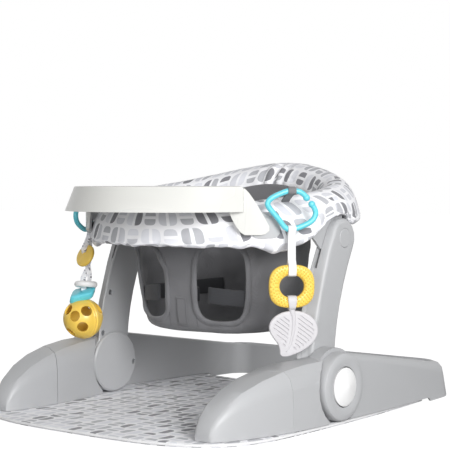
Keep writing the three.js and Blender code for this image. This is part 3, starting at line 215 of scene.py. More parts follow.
def lattice(name: str, rows: Rows, loop_rows: bool = False, loop_points: bool = False, caps: bool = False,
            cloth: Optional[Rows] = None, flip: bool = False) -> Object:
    """Makes a surface from rows of points.

    Args:
        name: the object's name.
        rows: an array of rows of points in the seat's own frame, in millimetres.
        loop_rows: whether the last row joins the first.
        loop_points: whether each row is a closed curve.
        caps: whether the first and last rows are filled.
        cloth: places on the flat cloth, in metres, one more than the rows and points where these close.
        flip: whether the faces turn the other way.

    Returns:
        The object.
    """
    n, m = rows.shape[:2]
    faces, uv = [], []
    for i in range(n if loop_rows else n - 1):
        for j in range(m if loop_points else m - 1):
            corners = [(i, j), (i, j + 1), (i + 1, j + 1), (i + 1, j)]
            if flip:
                corners.reverse()
            faces.append([(a % n) * m + b % m for a, b in corners])
            if cloth is not None:
                uv.append([tuple(cloth[a, b]) for a, b in corners])
    if caps:
        ends = [list(range(m)), [(n - 1) * m + j for j in range(m)][::-1]]
        faces += ends
        if cloth is not None:
            uv += [[tuple(rows.reshape(-1, 3)[k][:2] * MM) for k in end] for end in ends]
    made = new_object(name, to_row(rows).reshape(-1, 3), faces, uv if cloth is not None else None)
    return face_out(made) if (loop_points and caps) or (loop_rows and loop_points) else made


def cloth_lengths(rows: Rows, loop_rows: bool, loop_points: bool) -> Rows:
    """Measures a surface so that a print lies on it at its true size.

    Args:
        rows: rows of points, in millimetres.
        loop_rows: whether the last row joins the first.
        loop_points: whether each row is a closed curve.

    Returns:
        Places on the flat cloth, in metres, with one more row or point where these close.
    """
    n, m = rows.shape[:2]
    across = np.linalg.norm(np.diff(np.concatenate([rows, rows[:, :1]], 1), axis=1), axis=2).mean(0)
    along = np.linalg.norm(np.diff(np.concatenate([rows, rows[:1]], 0), axis=0), axis=2).mean(1)
    v = np.concatenate([[0], np.cumsum(across)])[: m + 1 if loop_points else m]
    u = np.concatenate([[0], np.cumsum(along)])[: n + 1 if loop_rows else n]
    return np.stack(np.meshgrid(u, v, indexing="ij"), -1) * MM


def carve(made: Object, tool: Object) -> None:
    """Cuts what a tool covers out of an object, and drops the tool.

    Args:
        made: the object that is carved.
        tool: the closed object that carves it.
    """
    step = made.modifiers.new("carve", "BOOLEAN")
    step.operation = "DIFFERENCE"
    step.solver = "EXACT"
    step.object = tool
    apply_modifiers(made)
    bpy.data.objects.remove(tool)


def apply_modifiers(made: Object) -> Object:
    """Gives an object the mesh that its modifiers make.

    Args:
        made: the object.

    Returns:
        The same object, without modifiers.
    """
    graph = bpy.context.evaluated_depsgraph_get()
    shaped = made.evaluated_get(graph)
    final = bpy.data.meshes.new_from_object(shaped, preserve_all_data_layers=True, depsgraph=graph)
    old = made.data
    made.modifiers.clear()
    made.data = final
    final.name = made.name
    bpy.data.meshes.remove(old)
    return made


def thicken(made: Object, thickness: float, offset: float = -1.0) -> Object:
    """Gives a sheet its thickness.

    Args:
        made: the open surface.
        thickness: in millimetres.
        offset: -1 to grow inwards from the surface, 1 outwards, 0 both ways.

    Returns:
        The object, closed.
    """
    step = made.modifiers.new("thickness", "SOLIDIFY")
    step.thickness = thickness * MM
    step.offset = offset
    return apply_modifiers(made)


def refine(made: Object) -> Object:
    """Subdivides a mesh once, smoothly, and returns it."""
    step = made.modifiers.new("smooth", "SUBSURF")
    step.levels = step.render_levels = 1
    return apply_modifiers(made)


def crisp(made: Object, degrees: float = EDGE_ANGLE) -> Object:
    """Shades a mesh smooth with sharp edges.

    Args:
        made: the object.
        degrees: the angle past which an edge is sharp.

    Returns:
        The same object.
    """
    mesh = made.data
    mesh.polygons.foreach_set("use_smooth", [True] * len(mesh.polygons))
    shape = bmesh.new()
    shape.from_mesh(mesh)
    for edge in shape.edges:
        edge.smooth = len(edge.link_faces) == 2 and edge.calc_face_angle(0.0) < math.radians(degrees)
    shape.to_mesh(mesh)
    shape.free()
    return made


def soften_edges(made: Object, width: float) -> None:
    """Rounds the sharp edges of a moulded piece.

    Args:
        made: the object, which keeps the modifier.
        width: of the rounding, in millimetres.
    """
    step = made.modifiers.new("moulded edge", "BEVEL")
    step.width = width * MM
    step.segments = 2
    step.limit_method = "ANGLE"
    step.angle_limit = math.radians(EDGE_ANGLE)
    step.harden_normals = True


def swept(name: str, path: Sequence[Sequence[float]], section: Sequence[Spot],
          up: Callable[[int], Sequence[float]], closed: bool = False, cloth_across: bool = False) -> Object:
    """Makes a bar, cord or tape that follows a path.

    Args:
        name: the object's name.
        path: points in the seat's own frame, in millimetres.
        section: the closed section, its first axis along up.
        up: gives the direction of the section's first axis at a point of the path.
        closed: whether the path closes on itself.
        cloth_across: whether places on the cloth are stored for a print or weave.

    Returns:
        The object.
    """
    places = [Vector(p) for p in path]
    count = len(places)
    rows = []
    for i, at in enumerate(places):
        ahead = places[(i + 1) % count] if closed or i + 1 < count else at
        behind = places[i - 1] if closed or i else at
        along = (ahead - behind).normalized()
        first = Vector(up(i))
        first = (first - along * first.dot(along)).normalized()
        second = along.cross(first)
        rows.append([tuple(at + first * a + second * b) for a, b in section])
    rows = np.array(rows)
    cloth = cloth_lengths(rows, closed, True) if cloth_across else None
    return lattice(name, rows, closed, True, not closed, cloth)


def tape_section(thickness: float, width: float) -> list[Spot]:
    """Returns the section of a flat tape with soft edges, its thickness along the first axis."""
    return superellipse(thickness / 2, width / 2, 4, 12)


THREAD_SIDES = 6
THREAD_LOOPS = ((0.0, 0.35), (0.2, 0.9), (0.5, 1.1), (0.8, 0.9), (1.0, 0.35))   # share of a stitch, thickness


def stitch_row(name: str, path: Sequence[Sequence[float]], normals: Sequence[Sequence[float]], pitch: float,
               length: float, radius: float) -> Object:
    """Makes a row of sewn stitches along a path.

    Args:
        name: the object's name.
        path: points in the seat's own frame, in millimetres.
        normals: the surface's direction at each point.
        pitch: spacing of the stitches.
        length: of each stitch.
        radius: of the thread.

    Returns:
        One object that holds every stitch.
    """
    places = np.array(path, float)
    lengths = np.concatenate([[0], np.cumsum(np.linalg.norm(np.diff(places, axis=0), axis=1))])
    directions = np.array(normals, float)
    vertices, faces = [], []
    n = THREAD_SIDES
    for start in np.arange(pitch / 2, lengths[-1] - length, pitch):
        ends = [np.array([np.interp(s, lengths, places[:, k]) for k in range(3)])
                for s in (start, start + length)]
        out = np.array([np.interp(start, lengths, directions[:, k]) for k in range(3)])
        along = Vector(ends[1] - ends[0]).normalized()
        rise = Vector(out).normalized()
        across = along.cross(rise)
        first = len(vertices)
        for share, size in THREAD_LOOPS:
            at = Vector(ends[0] * (1 - share) + ends[1] * share)
            lift = radius * (0.2 + 0.8 * math.sin(math.pi * share))
            for k in range(n):
                a = 2 * math.pi * k / n
                up = rise * (lift + radius * size * math.sin(a))
                vertices.append(tuple(at + up + across * radius * size * math.cos(a)))
        last = first + (len(THREAD_LOOPS) - 1) * n
        for low in range(first, last, n):
            faces += [[low + k, low + (k + 1) % n, low + n + (k + 1) % n, low + n + k] for k in range(n)]
        faces.append([first + k for k in range(n)][::-1])
        faces.append([last + k for k in range(n)])
    return face_out(new_object(name, to_row(np.array(vertices)), faces))


# Finishes


class Graph:
    """A material's node tree, with short calls for the nodes that the finishes use."""

    def __init__(self, name: str) -> None:
        """Starts an empty material of that name with its output and surface shader."""
        self.material = bpy.data.materials.new(name)
        self.material.use_nodes = True
        self.tree = self.material.node_tree
        self.tree.nodes.clear()
        self.output = self.tree.nodes.new("ShaderNodeOutputMaterial")
        self.surface = self.tree.nodes.new("ShaderNodeBsdfPrincipled")
        self.join(self.surface.outputs[0], self.output.inputs["Surface"])

    def join(self, source: Socket, target: Socket) -> None:
        """Links one socket to another."""
        self.tree.links.new(source, target)

    def node(self, kind: str, inputs: Optional[dict] = None, **settings: object) -> bpy.types.Node:
        """Adds a node.

        Args:
            kind: its type name, without the leading ShaderNode.
            inputs: values or sockets by input name or number.
            **settings: its properties.

        Returns:
            The node.
        """
        made = self.tree.nodes.new("ShaderNode" + kind)
        for key, value in settings.items():
            setattr(made, key, value)
        for key, value in (inputs or {}).items():
            if isinstance(value, Socket):
                self.join(value, made.inputs[key])
            else:
                made.inputs[key].default_value = value
        return made

    def sum(self, operation: str, *values: object) -> Socket:
        """Adds a Math node on the values and returns its result."""
        return self.node("Math", dict(enumerate(values)), operation=operation).outputs[0]

    def vector(self, operation: str, *values: object) -> Socket:
        """Adds a Vector Math node on the values and returns its vector."""
        return self.node("VectorMath", dict(enumerate(values)), operation=operation).outputs[0]

    def between(self, share: object, low: object, high: object) -> Socket:
        """Adds a mix of two colours.

        Args:
            share: how much of the second shows.
            low: the first colour.
            high: the second colour.

        Returns:
            The mixed colour.
        """
        made = self.node("Mix", data_type="RGBA")
        for socket, value in zip((made.inputs[0], made.inputs[6], made.inputs[7]), (share, low, high)):
            if isinstance(value, Socket):
                self.join(value, socket)
            else:
                socket.default_value = value
        return made.outputs[2]

    def range(self, value: object, low: float, high: float, to_low: float = 0.0,
              to_high: float = 1.0) -> Socket:
        """Maps a value from one range to another, clamped, and returns it."""
        return self.node("MapRange", {0: value, 1: low, 2: high, 3: to_low, 4: to_high}).outputs[0]

    def noise(self, place: Socket, scale: float, detail: float) -> Socket:
        """Adds noise at a place and returns its value."""
        return self.node("TexNoise", {"Vector": place, "Scale": scale, "Detail": detail}).outputs[0]

    def relief(self, height: Socket, depth: float, strength: float, under: Optional[Socket] = None) -> Socket:
        """Adds relief to the surface.

        Args:
            height: the height, from 0 to 1.
            depth: what a height of 1 stands for, in metres.
            strength: how much of it shows.
            under: the relief that this one lies on.

        Returns:
            The normal.
        """
        made = self.node("Bump", {"Height": height, "Distance": depth, "Strength": strength})
        if under is not None:
            self.join(under, made.inputs["Normal"])
        return made.outputs[0]


def grey(value: float) -> Colour:
    """Returns a neutral colour from its linear value."""
    return value, value, value, 1.0


def shade(colour: Colour, factor: float, lift: float = 0.0) -> list[float]:
    """Returns a colour darkened or lightened by a factor, and lifted, at most to white."""
    return [min(c * factor + lift, 1.0) for c in colour[:3]] + [1.0]


def linear(value: float) -> float:
    """Returns the linear value of a screen's value from 0 to 255."""
    share = value / 255
    return share / 12.92 if share <= 0.04045 else ((share + 0.055) / 1.055) ** 2.4


def ink(red: float, green: float, blue: float) -> Colour:
    """Returns a linear colour from the 0 to 255 values that it shows on a screen."""
    return linear(red), linear(green), linear(blue), 1.0


@dataclass(frozen=True)
class Moulded:
    """Moulded plastic with a fine grain, slight shade changes and edges polished by use."""

    name: str
    colour: Colour
    roughness: float = 0.45
    grain: float = 0.5
    coat: float = 0.0
    coat_roughness: float = 0.25
    cloud: Spot = (9.0, 3.0)                # scale and detail of the noise
    fine: Spot = (1400.0, 1.0)
    swells: Spot = (26.0, 2.0)
    shades: Spot = (0.96, 1.03)
    worn: Spot = (0.52, 0.62)               # pointiness at which wear starts and is full
    worn_tone: Spot = (1.12, 0.01)
    worn_share: float = 0.5
    worn_polish: float = 0.08
    patchy: Point = (0.3, 0.7, 0.03)
    swell_relief: Spot = (0.00012, 0.5)
    fine_depth: float = 0.00006

    def make(self) -> bpy.types.Material:
        """Builds the material.

        Returns:
            The material.
        """
        g = Graph(self.name)
        place = g.node("TexCoord").outputs["Object"]
        cloud = g.noise(place, *self.cloud)
        fine = g.noise(place, *self.fine)
        worn = g.range(g.node("NewGeometry").outputs["Pointiness"], *self.worn)
        body = g.between(cloud, *(shade(self.colour, k) for k in self.shades))
        edge = shade(self.colour, *self.worn_tone)
        worn_mask = g.sum("MULTIPLY", worn, self.worn_share)
        g.join(g.between(worn_mask, body, edge), g.surface.inputs["Base Color"])
        low, high, spread = self.patchy
        rough = g.sum("ADD", g.range(cloud, low, high, self.roughness - spread, self.roughness + spread),
                      g.sum("MULTIPLY", worn, -self.worn_polish))
        g.join(rough, g.surface.inputs["Roughness"])
        wave = g.relief(g.noise(place, *self.swells), *self.swell_relief)
        g.join(g.relief(fine, self.fine_depth, self.grain, wave), g.surface.inputs["Normal"])
        g.surface.inputs["Coat Weight"].default_value = self.coat
        g.surface.inputs["Coat Roughness"].default_value = self.coat_roughness
        return g.material


@dataclass(frozen=True)
class Metal:
    """Plated steel of a pin, spring or screw."""

    name: str
    colour: Colour
    stretch: Point = (3000.0, 200.0, 200.0)
    streaks: Point = (0.2, 0.8, 0.25)
    most_rough: float = 0.45
    relief: Spot = (0.00002, 0.4)

    def make(self) -> bpy.types.Material:
        """Builds the material.

        Returns:
            The material.
        """
        g = Graph(self.name)
        place = g.node("TexCoord").outputs["Object"]
        streak = g.noise(g.vector("MULTIPLY", place, self.stretch), 1.0, 2.0)
        g.surface.inputs["Base Color"].default_value = self.colour
        g.surface.inputs["Metallic"].default_value = 1.0
        g.join(g.range(streak, *self.streaks, self.most_rough), g.surface.inputs["Roughness"])
        g.join(g.relief(streak, *self.relief), g.surface.inputs["Normal"])
        return g.material


@dataclass(frozen=True)
class Woven:
    """Plain woven cloth of one colour, with its threads, painted shade in the hollows between them, changes
    of tone and a soft sheen.
    """

    name: str
    colour: Colour
    thread: float = 0.9
    sheen: float = 0.2
    relief: Spot = (0.00018, 0.8)
    roughness: float = 0.85
    reach: float = 1.4                      # the greatest sum of the crossing threads' waves
    cloud: Spot = (18.0, 4.0)
    shades: Spot = (0.86, 1.12)
    # share of black mixed into the weave's low places: painted shade between the threads
    hollow: float = 0.25
    sheen_roughness: float = 0.5
    folds: Spot = (60.0, 3.0)
    fold_relief: Spot = (0.0008, 0.5)

    def threads(self, g: Graph, place: Socket) -> Socket:
        """Adds the weave.

        Args:
            g: the material's nodes.
            place: where on the cloth it is taken, in metres.

        Returns:
            Its height, from 0 to 1.
        """
        scaled = g.vector("SCALE", place)
        scaled.node.inputs["Scale"].default_value = 2 * math.pi / (self.thread * MM)
        parts = g.node("SeparateXYZ", {0: scaled})
        waves = [g.sum("SINE", parts.outputs[k]) for k in range(3)]
        crossed = [g.sum("MULTIPLY", waves[a], waves[b]) for a, b in ((0, 1), (2, 0))]
        return g.range(g.sum("ADD", *crossed), -self.reach, self.reach)

    def make(self) -> bpy.types.Material:
        """Builds the material.

        Returns:
            The material.
        """
        g = Graph(self.name)
        place = g.node("TexCoord").outputs["Object"]
        weave = self.threads(g, place)
        tone = g.between(g.noise(place, *self.cloud), *(shade(self.colour, k) for k in self.shades))
        # painted shade: the weave's low places are darkened towards black
        low = g.between(self.hollow, tone, grey(0.0))
        g.join(g.between(weave, low, tone), g.surface.inputs["Base Color"])
        g.surface.inputs["Roughness"].default_value = self.roughness
        g.surface.inputs["Sheen Weight"].default_value = self.sheen
        g.surface.inputs["Sheen Roughness"].default_value = self.sheen_roughness
        folds = g.relief(g.noise(place, *self.folds), *self.fold_relief)
        g.join(g.relief(weave, *self.relief, folds), g.surface.inputs["Normal"])
        return g.material


@dataclass(frozen=True)
class Tape:
    """Narrow woven tape or webbing, ribbed along its length, with painted shade in the hollows between its
    ribs.
    """

    name: str
    colour: Colour
    rib: float = 1.6
    cross: float = 0.9
    cross_share: float = 0.6
    # colour factor in the ribs' low places: painted shade
    hollow: float = 0.72
    roughness: float = 0.75
    sheen: float = 0.15
    relief: Spot = (0.0002, 0.9)

    def wave(self, g: Graph, place: Socket, pitch: float) -> Socket:
        """Returns a wave along one direction of the tape, from its pitch in millimetres."""
        return g.sum("SINE", g.sum("MULTIPLY", place, 2 * math.pi / (pitch * MM)))

    def make(self) -> bpy.types.Material:
        """Builds the material on the tape's own places: along it and across it.

        Returns:
            The material.
        """
        g = Graph(self.name)
        place = g.node("TexCoord").outputs["UV"]
        parts = g.node("SeparateXYZ", {0: place})
        rib = self.wave(g, parts.outputs[1], self.rib)
        cross = g.sum("MULTIPLY", self.wave(g, parts.outputs[0], self.cross), self.cross_share)
        reach = 1 + self.cross_share
        height = g.range(g.sum("ADD", rib, cross), -reach, reach)
        # painted shade: the ribs' low places are darkened
        low = shade(self.colour, self.hollow)
        g.join(g.between(height, low, self.colour), g.surface.inputs["Base Color"])
        g.surface.inputs["Roughness"].default_value = self.roughness
        g.surface.inputs["Sheen Weight"].default_value = self.sheen
        g.join(g.relief(height, *self.relief), g.surface.inputs["Normal"])
        return g.material


@dataclass(frozen=True)
class Printed:
    """White cloth printed with a basket weave of half-round bars in greys."""

    name: str
    row: float = 27.5
    period: float = 52.0
    upright_share: float = 0.56
    bar_width: float = 11.4
    bar_length: float = 24.0
    flat_width: float = 9.4
    flat_length: float = 17.5
    gap: float = 3.8
    drift: float = 0.011
    flat: bool = False
    row_shift: float = 0.95                 # of a period, in every second row
    drift_scale: float = 620.0
    bulge_form: float = 3.0
    end_form: float = 3.4
    soft_edge: Spot = (0.14, 0.5)
    half_key: float = 3.7
    ground: Colour = ink(246, 246, 249)
    tones: tuple[tuple[float, Colour], ...] = (
        (0.0, ink(132, 132, 137)), (0.2, ink(184, 185, 190)), (0.44, ink(212, 213, 219)),
        (0.76, ink(228, 229, 235)),
    )
    roughness: float = 0.8
    sheen: float = 0.12
    folds: Spot = (70.0, 3.0)
    fold_relief: Spot = (0.0009, 0.45)
    thread: float = 0.8
    relief: Spot = (0.00012, 0.6)

    def bars(self, g: Graph, place: Socket) -> tuple[Socket, Socket]:
        """Draws the print.

        Args:
            g: the material's nodes.
            place: where on the cloth it is taken, in metres.

        Returns:
            The share of ink at the place, and the number that picks its tone.
        """
        scale = self.drift_scale * MM / self.row
        drift = g.node("TexNoise", {"Vector": place, "Scale": scale, "Detail": 1.0}).outputs["Color"]
        drift = g.vector("SUBTRACT", drift, (0.5, 0.5, 0.5))
        drift = g.vector("MULTIPLY", drift, (self.drift, self.drift, 0.0))
        spot = g.node("SeparateXYZ", {0: g.vector("ADD", place, drift)})
        line = g.sum("DIVIDE", spot.outputs[1], self.row * MM)
        row = g.sum("FLOOR", line)
        y = g.sum("MULTIPLY", g.sum("SUBTRACT", g.sum("FRACT", line), 0.5), self.row)
        shift = g.sum("MULTIPLY", g.sum("FRACT", g.sum("MULTIPLY", row, 0.5)), self.row_shift)
        run = g.sum("ADD", g.sum("DIVIDE", spot.outputs[0], self.period * MM), shift)
        column = g.sum("FLOOR", run)
        part = g.sum("FRACT", run)
        flat_cell = g.sum("GREATER_THAN", part, self.upright_share)
        x_up = g.sum("MULTIPLY", g.sum("SUBTRACT", part, self.upright_share / 2), self.period)
        x_flat = g.sum("MULTIPLY", g.sum("SUBTRACT", part, (1 + self.upright_share) / 2), self.period)
        upright = self.pair(g, x_up, y, self.bar_width, self.bar_length / 2)
        flat = self.pair(g, y, x_flat, self.flat_width, self.flat_length / 2)
        mark = g.node("Mix", {0: flat_cell, 2: upright, 3: flat}).outputs[0]
        x_half = g.sum("SIGN", x_up)
        y_half = g.sum("SIGN", y)
        half = g.node("Mix", {0: flat_cell, 2: x_half, 3: y_half}).outputs[0]
        cell = g.node("CombineXYZ", {0: column, 1: row, 2: flat_cell}).outputs[0]
        key = g.node("CombineXYZ", {2: g.sum("MULTIPLY", half, self.half_key)}).outputs[0]
        key = g.vector("ADD", cell, key)
        pick = g.node("TexWhiteNoise", {"Vector": key}, noise_dimensions="3D").outputs["Value"]
        return mark, pick

    def pair(self, g: Graph, across: Socket, along: Socket, width: float, reach: float) -> Socket:
        """Draws two half-round bars, flat side to flat side.

        Args:
            g: the material's nodes.
            across: the distance from the line between the bars, in millimetres.
            along: the distance from their middle.
            width: of one bar.
            reach: half a bar's length.

        Returns:
            The share of ink.
        """
        rise = g.sum("SUBTRACT", g.sum("ABSOLUTE", across), self.gap / 2)
        bulge = g.sum("POWER", g.sum("DIVIDE", g.sum("MAXIMUM", rise, 0.0), width), self.bulge_form)
        ends = g.sum("POWER", g.sum("DIVIDE", g.sum("ABSOLUTE", along), reach), self.end_form)
        rounded, straight = self.soft_edge
        inside = g.range(g.sum("SUBTRACT", 1.0, g.sum("ADD", bulge, ends)), 0.0, rounded)
        return g.sum("MULTIPLY", inside, g.range(rise, 0.0, straight))

    def make(self) -> bpy.types.Material:
        """Builds the material.

        Returns:
            The material.
        """
        g = Graph(self.name)
        where = g.node("TexCoord")
        place = where.outputs["Object"] if self.flat else where.outputs["UV"]
        mark, pick = self.bars(g, place)
        ramp = g.node("ValToRGB", {0: pick})
        ramp.color_ramp.interpolation = "CONSTANT"
        stops = ramp.color_ramp.elements
        while len(stops) < len(self.tones):
            stops.new(1.0)
        for stop, (at, tone) in zip(stops, self.tones):
            stop.position, stop.color = at, tone
        g.join(g.between(mark, self.ground, ramp.outputs[0]), g.surface.inputs["Base Color"])
        g.surface.inputs["Roughness"].default_value = self.roughness
        g.surface.inputs["Sheen Weight"].default_value = self.sheen
        body = where.outputs["Object"]
        folds = g.relief(g.noise(body, *self.folds), *self.fold_relief)
        weave = Woven("threads", self.ground, self.thread).threads(g, body)
        g.join(g.relief(weave, *self.relief, folds), g.surface.inputs["Normal"])
        return g.material


# Finishes of this seat

GREY_PLASTIC = Moulded("light_grey_plastic", ink(174, 175, 177), 0.42, 0.45)
TRAY_PLASTIC = Moulded("warm_white_plastic", ink(206, 206, 202), 0.32, 0.2, 0.1)
BUTTON_PLASTIC = Moulded("white_button_plastic", ink(229, 229, 229), 0.38, 0.3)
BLACK_PLASTIC = Moulded("black_plastic", ink(38, 39, 41), 0.4, 0.4)
TEAL_PLASTIC = Moulded("aqua_plastic", ink(98, 203, 218), 0.3, 0.15, 0.2)
YELLOW_PLASTIC = Moulded("golden_plastic", ink(236, 198, 84), 0.36, 0.2, 0.15)
LEAF_RUBBER = Moulded("leaf_rubber", ink(196, 194, 197), 0.5, 0.4)
WHITE_PLASTIC = Moulded("white_bead_plastic", ink(238, 238, 238), 0.32, 0.2, 0.1)
STEEL = Metal("plated_steel", ink(170, 172, 175))
SEAT_CLOTH = Woven("dark_grey_cloth", ink(121, 121, 124), 1.0, 0.25)
BINDING_CLOTH = Woven("grey_binding_cloth", ink(118, 118, 121), 0.8, 0.2)
SEAT_THREAD = Woven("grey_thread", ink(74, 74, 77), 0.5, 0.1)
MAT_BINDING_CLOTH = Woven("white_binding_cloth", ink(243, 243, 246), 0.8, 0.15)
COVER_PRINT = Printed("cover_print")
MAT_PRINT = Printed("mat_print", row=30.0, period=57.0, bar_width=12.4, bar_length=26.0, flat_width=10.4,
                    flat_length=19.0, flat=True)
LOOP_WEBBING = Tape("grey_loop_tape", ink(126, 125, 127))
HARNESS_WEBBING = Tape("dark_webbing", ink(48, 49, 53), 2.2, 1.2)
RIBBON_PRINT = Printed("ribbon_print", row=9.5, period=21.0, bar_width=2.9, bar_length=6.2, flat_width=2.4,
                       flat_length=5.0, gap=1.2, drift=0.002)
WHITE_RIBBON = Tape("white_ribbon", ink(244, 244, 246), 1.0, 0.6)


class Wardrobe:
    """Makes each finish once and puts it on the pieces that have it."""

    def __init__(self) -> None:
        """Starts with nothing made."""
        self.made: dict[str, bpy.types.Material] = {}

    def dress(self, piece: Object, finish: object) -> Object:
        """Gives a piece its finish.

        Args:
            piece: a new piece or a CAD node.
            finish: one of this seat's finishes.

        Returns:
            The piece.
        """
        if finish.name not in self.made:
            self.made[finish.name] = finish.make()
        material = self.made[finish.name]
        if piece.type == "MESH" and len(piece.data.materials) == 0:
            piece.data.materials.append(material)
        for holder in piece.material_slots:
            holder.material = material
        return piece


WARDROBE = Wardrobe()


def settle(piece: Object, body: str, slot: str, finish: object, *nodes: str) -> Object:
    """Dresses a new piece and fixes it to its body.

    Args:
        piece: the new piece.
        body: the body that it rides on.
        slot: the record's material slot; not used.
        finish: its finish.
        *nodes: the CAD nodes that it stands for.

    Returns:
        The piece.
    """
    WARDROBE.dress(piece, finish)
    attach(piece, body)
    if nodes:
        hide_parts(*nodes)
    LOG.info("%s on %s, %d faces", piece.name, body, len(piece.data.polygons))
    return piece


# Soft pieces


@dataclass(frozen=True)
class Wave:
    """Smooth waves in cloth: their spacing, height and pattern, and how tightly they run along each axis."""

    size: float
    height: float
    seed: float
    run: Point = (1.0, 1.0, 1.0)

    def at(self, x: float, y: float, z: float = 0.0) -> float:
        """Returns how high the waves are at a place."""
        return self.height * ripple((x * self.run[0], y * self.run[1], z * self.run[2]), self.size, self.seed)


@dataclass(frozen=True)
class Ring:
    """Plan and heights of the padded ring, which the cover and the seat share."""

    centre: float = 42.5
    reach_x: float = 208.0
    reach_y: float = 186.0
    slope: float = 0.157
    level: float = 331.4
    hump: float = 19.0
    inner_drop: float = 30.0
    width: float = 60.0

    def at(self, turn: float, offset: float) -> Spot:
        """Returns the plan point at an angle, a distance outside the ring's outer line."""
        x, y = self.reach_x + offset, self.reach_y + offset
        return x * math.cos(turn), self.centre + y * math.sin(turn)

    def crest(self, y: float) -> float:
        """Returns the height of the cover's crest at a place along the seat."""
        along = max((y - self.centre) / self.reach_y, 0.0)
        return self.level + self.slope * (y - self.centre) + self.hump * along ** 4


RING = Ring()


@dataclass
class RingCover:
    """The printed cover over the ring's padding, gathered by elastic at its lower edge."""

    turns: int = 216
    thickness: float = 1.2
    true_at: float = math.radians(62)

    # the section: swell is a height, a place along and a width
    # tuck and bulge each hold the value away from the arms and the one beside them
    outer_depth: float = 45.0
    outer_form: float = 1.25
    inner_depth: float = 20.0
    crown_steps: int = 24
    crown_inset: float = 0.8
    skirt_steps: int = 9
    least_skirt: float = 6.0
    swell: Point = (9.0, -8.0, 24.0)
    tuck: Spot = (3.5, 1.0)
    bulge: Spot = (2.0, 0.6)
    lip: tuple[Spot, ...] = ((-8.0, 7.0), (-5.0, 2.0), (-1.5, 0.0))
    inner_gap: float = 0.6
    inner_steps: int = 3
    rim_lap: float = 1.0
    seam: tuple[Spot, ...] = ((0.7, -1.6), (1.4, -4.5))

    # the hem's line, by places along the seat; bunch is a height, a place and a width
    hem_front: float = 81.0
    hem_back: float = 51.0
    hem_climb: Spot = (-45.0, 55.0)
    arch: float = 14.0
    arch_form: float = 1.3
    arch_front: Spot = (-30.0, 28.0)
    arch_rear: Spot = (92.0, 70.0)
    bunch: Point = (9.0, -58.0, 18.0)
    arm_front: Spot = (-44.0, -20.0)
    arm_rear: Spot = (92.0, 112.0)

    # the padding's push
    frames: int = 20
    pressure: float = 4.0
    held_rows: int = 4
    most: float = 4.5
    most_under_tray: float = 2.5
    tray_line: float = -60.0

    # gathers and folds; a pinch fold is a share, a place beside the seam and a width
    gather: float = 4.4
    gather_rows: int = 13
    gather_fall: float = 16.0
    gather_by_arm: float = 0.7
    pleats: Wave = Wave(14, 1.1, 3.0)
    creases: Wave = Wave(9, 2.4, 9.0)
    crease_depth: float = 0.8
    hem_waves: Wave = Wave(15, 4.4, 5.0)
    folds: Wave = Wave(24, 1.3, 1.0, (1.0, 1.0, 0.45))
    wrinkles: Wave = Wave(11, 0.45, 2.0, (1.0, 1.0, 0.6))
    arm_calm: float = 0.8
    arm_height: float = 40.0
    inner_calm: float = 0.9
    inner_rows: tuple[int, int] = (16, 9)
    pinch: float = 12.0
    pinch_width: float = 6.0
    pinch_reach: float = 70.0
    pinch_rows: tuple[int, int] = (22, 29)
    pinch_side: float = 2.6
    pinch_folds: tuple[Point, ...] = ((1.0, 15.0, 7.0), (-0.8, 28.0, 6.0), (0.5, 40.0, 7.0))

    def hem(self, y: float) -> float:
        """Returns the height of the cover's lower edge.

        Args:
            y: the place along the seat.

        Returns:
            The height, which rises to the rear, arches over the arms and bunches ahead of them.
        """
        base = RING.level - mix(self.hem_front, self.hem_back, ease(y, *self.hem_climb))
        over = min(climb(y, *self.arch_front), climb(y, *self.arch_rear))
        arch = self.arch * math.sin(math.pi / 2 * over) ** self.arch_form
        height, at, width = self.bunch
        return base + arch - height * bump(y, at, width)

    def by_arm(self, y: float) -> float:
        """Returns how much the cover is drawn in by an arm at a place along the seat, from 0 to 1."""
        return ease(y, *self.arm_front) * (1 - ease(y, *self.arm_rear))

    def section(self, turn: float) -> list[Spot]:
        """Draws the cover's section at an angle of the plan.

        Args:
            turn: the angle.

        Returns:
            Points as outward offset and height, from inside the hem over the crown to the seat's rim.
        """
        y = RING.at(turn, 0)[1]
        hem, top = self.hem(y), RING.crest(y) - self.thickness
        outer = min(self.outer_depth, top - hem - self.least_skirt)
        height, at, width = self.swell
        swell = height * bump(y, at, width)
        arm = self.by_arm(y)
        tuck, bulge = mix(*self.tuck, arm), mix(*self.bulge, arm)
        half = RING.width / 2
        points = [(swell - tuck + out, hem + up) for out, up in self.lip]
        for k in range(1, self.skirt_steps):
            t = k / self.skirt_steps
            out = swell + bulge * math.sin(math.pi * t) - tuck * (1 - t) ** 3
            points.append((out, mix(hem, top - outer, t)))
        for k in range(self.crown_steps + 1):
            t = k / self.crown_steps
            a = math.pi * t
            depth, form, lean = self.inner_depth, 1.0, 0.0
            if t < 0.5:
                depth, form, lean = outer, self.outer_form, swell * (1 - 2 * t)
            out = (half - self.crown_inset) * power(math.cos(a), form) - half + lean
            points.append((out, top - depth + depth * power(math.sin(a), form)))
        low = top - RING.inner_drop + self.rim_lap
        for k in range(1, self.inner_steps + 1):
            z = mix(top - self.inner_depth, low, k / self.inner_steps)
            points.append((-RING.width + self.inner_gap, z))
        return points + [(-RING.width + out, low + up) for out, up in self.seam]

    def rows(self) -> Rows:
        """Lays the cover's points.

        Returns:
            One row of points for each angle of the plan.
        """
        rows = []
        for i in range(self.turns):
            turn = 2 * math.pi * i / self.turns
            y0 = RING.at(turn, 0)[1]
            row = []
            for offset, z in self.section(turn):
                x, y = RING.at(turn, offset)
                row.append((x, y, z + RING.slope * (y - y0)))
            rows.append(row)
        return np.array(rows)

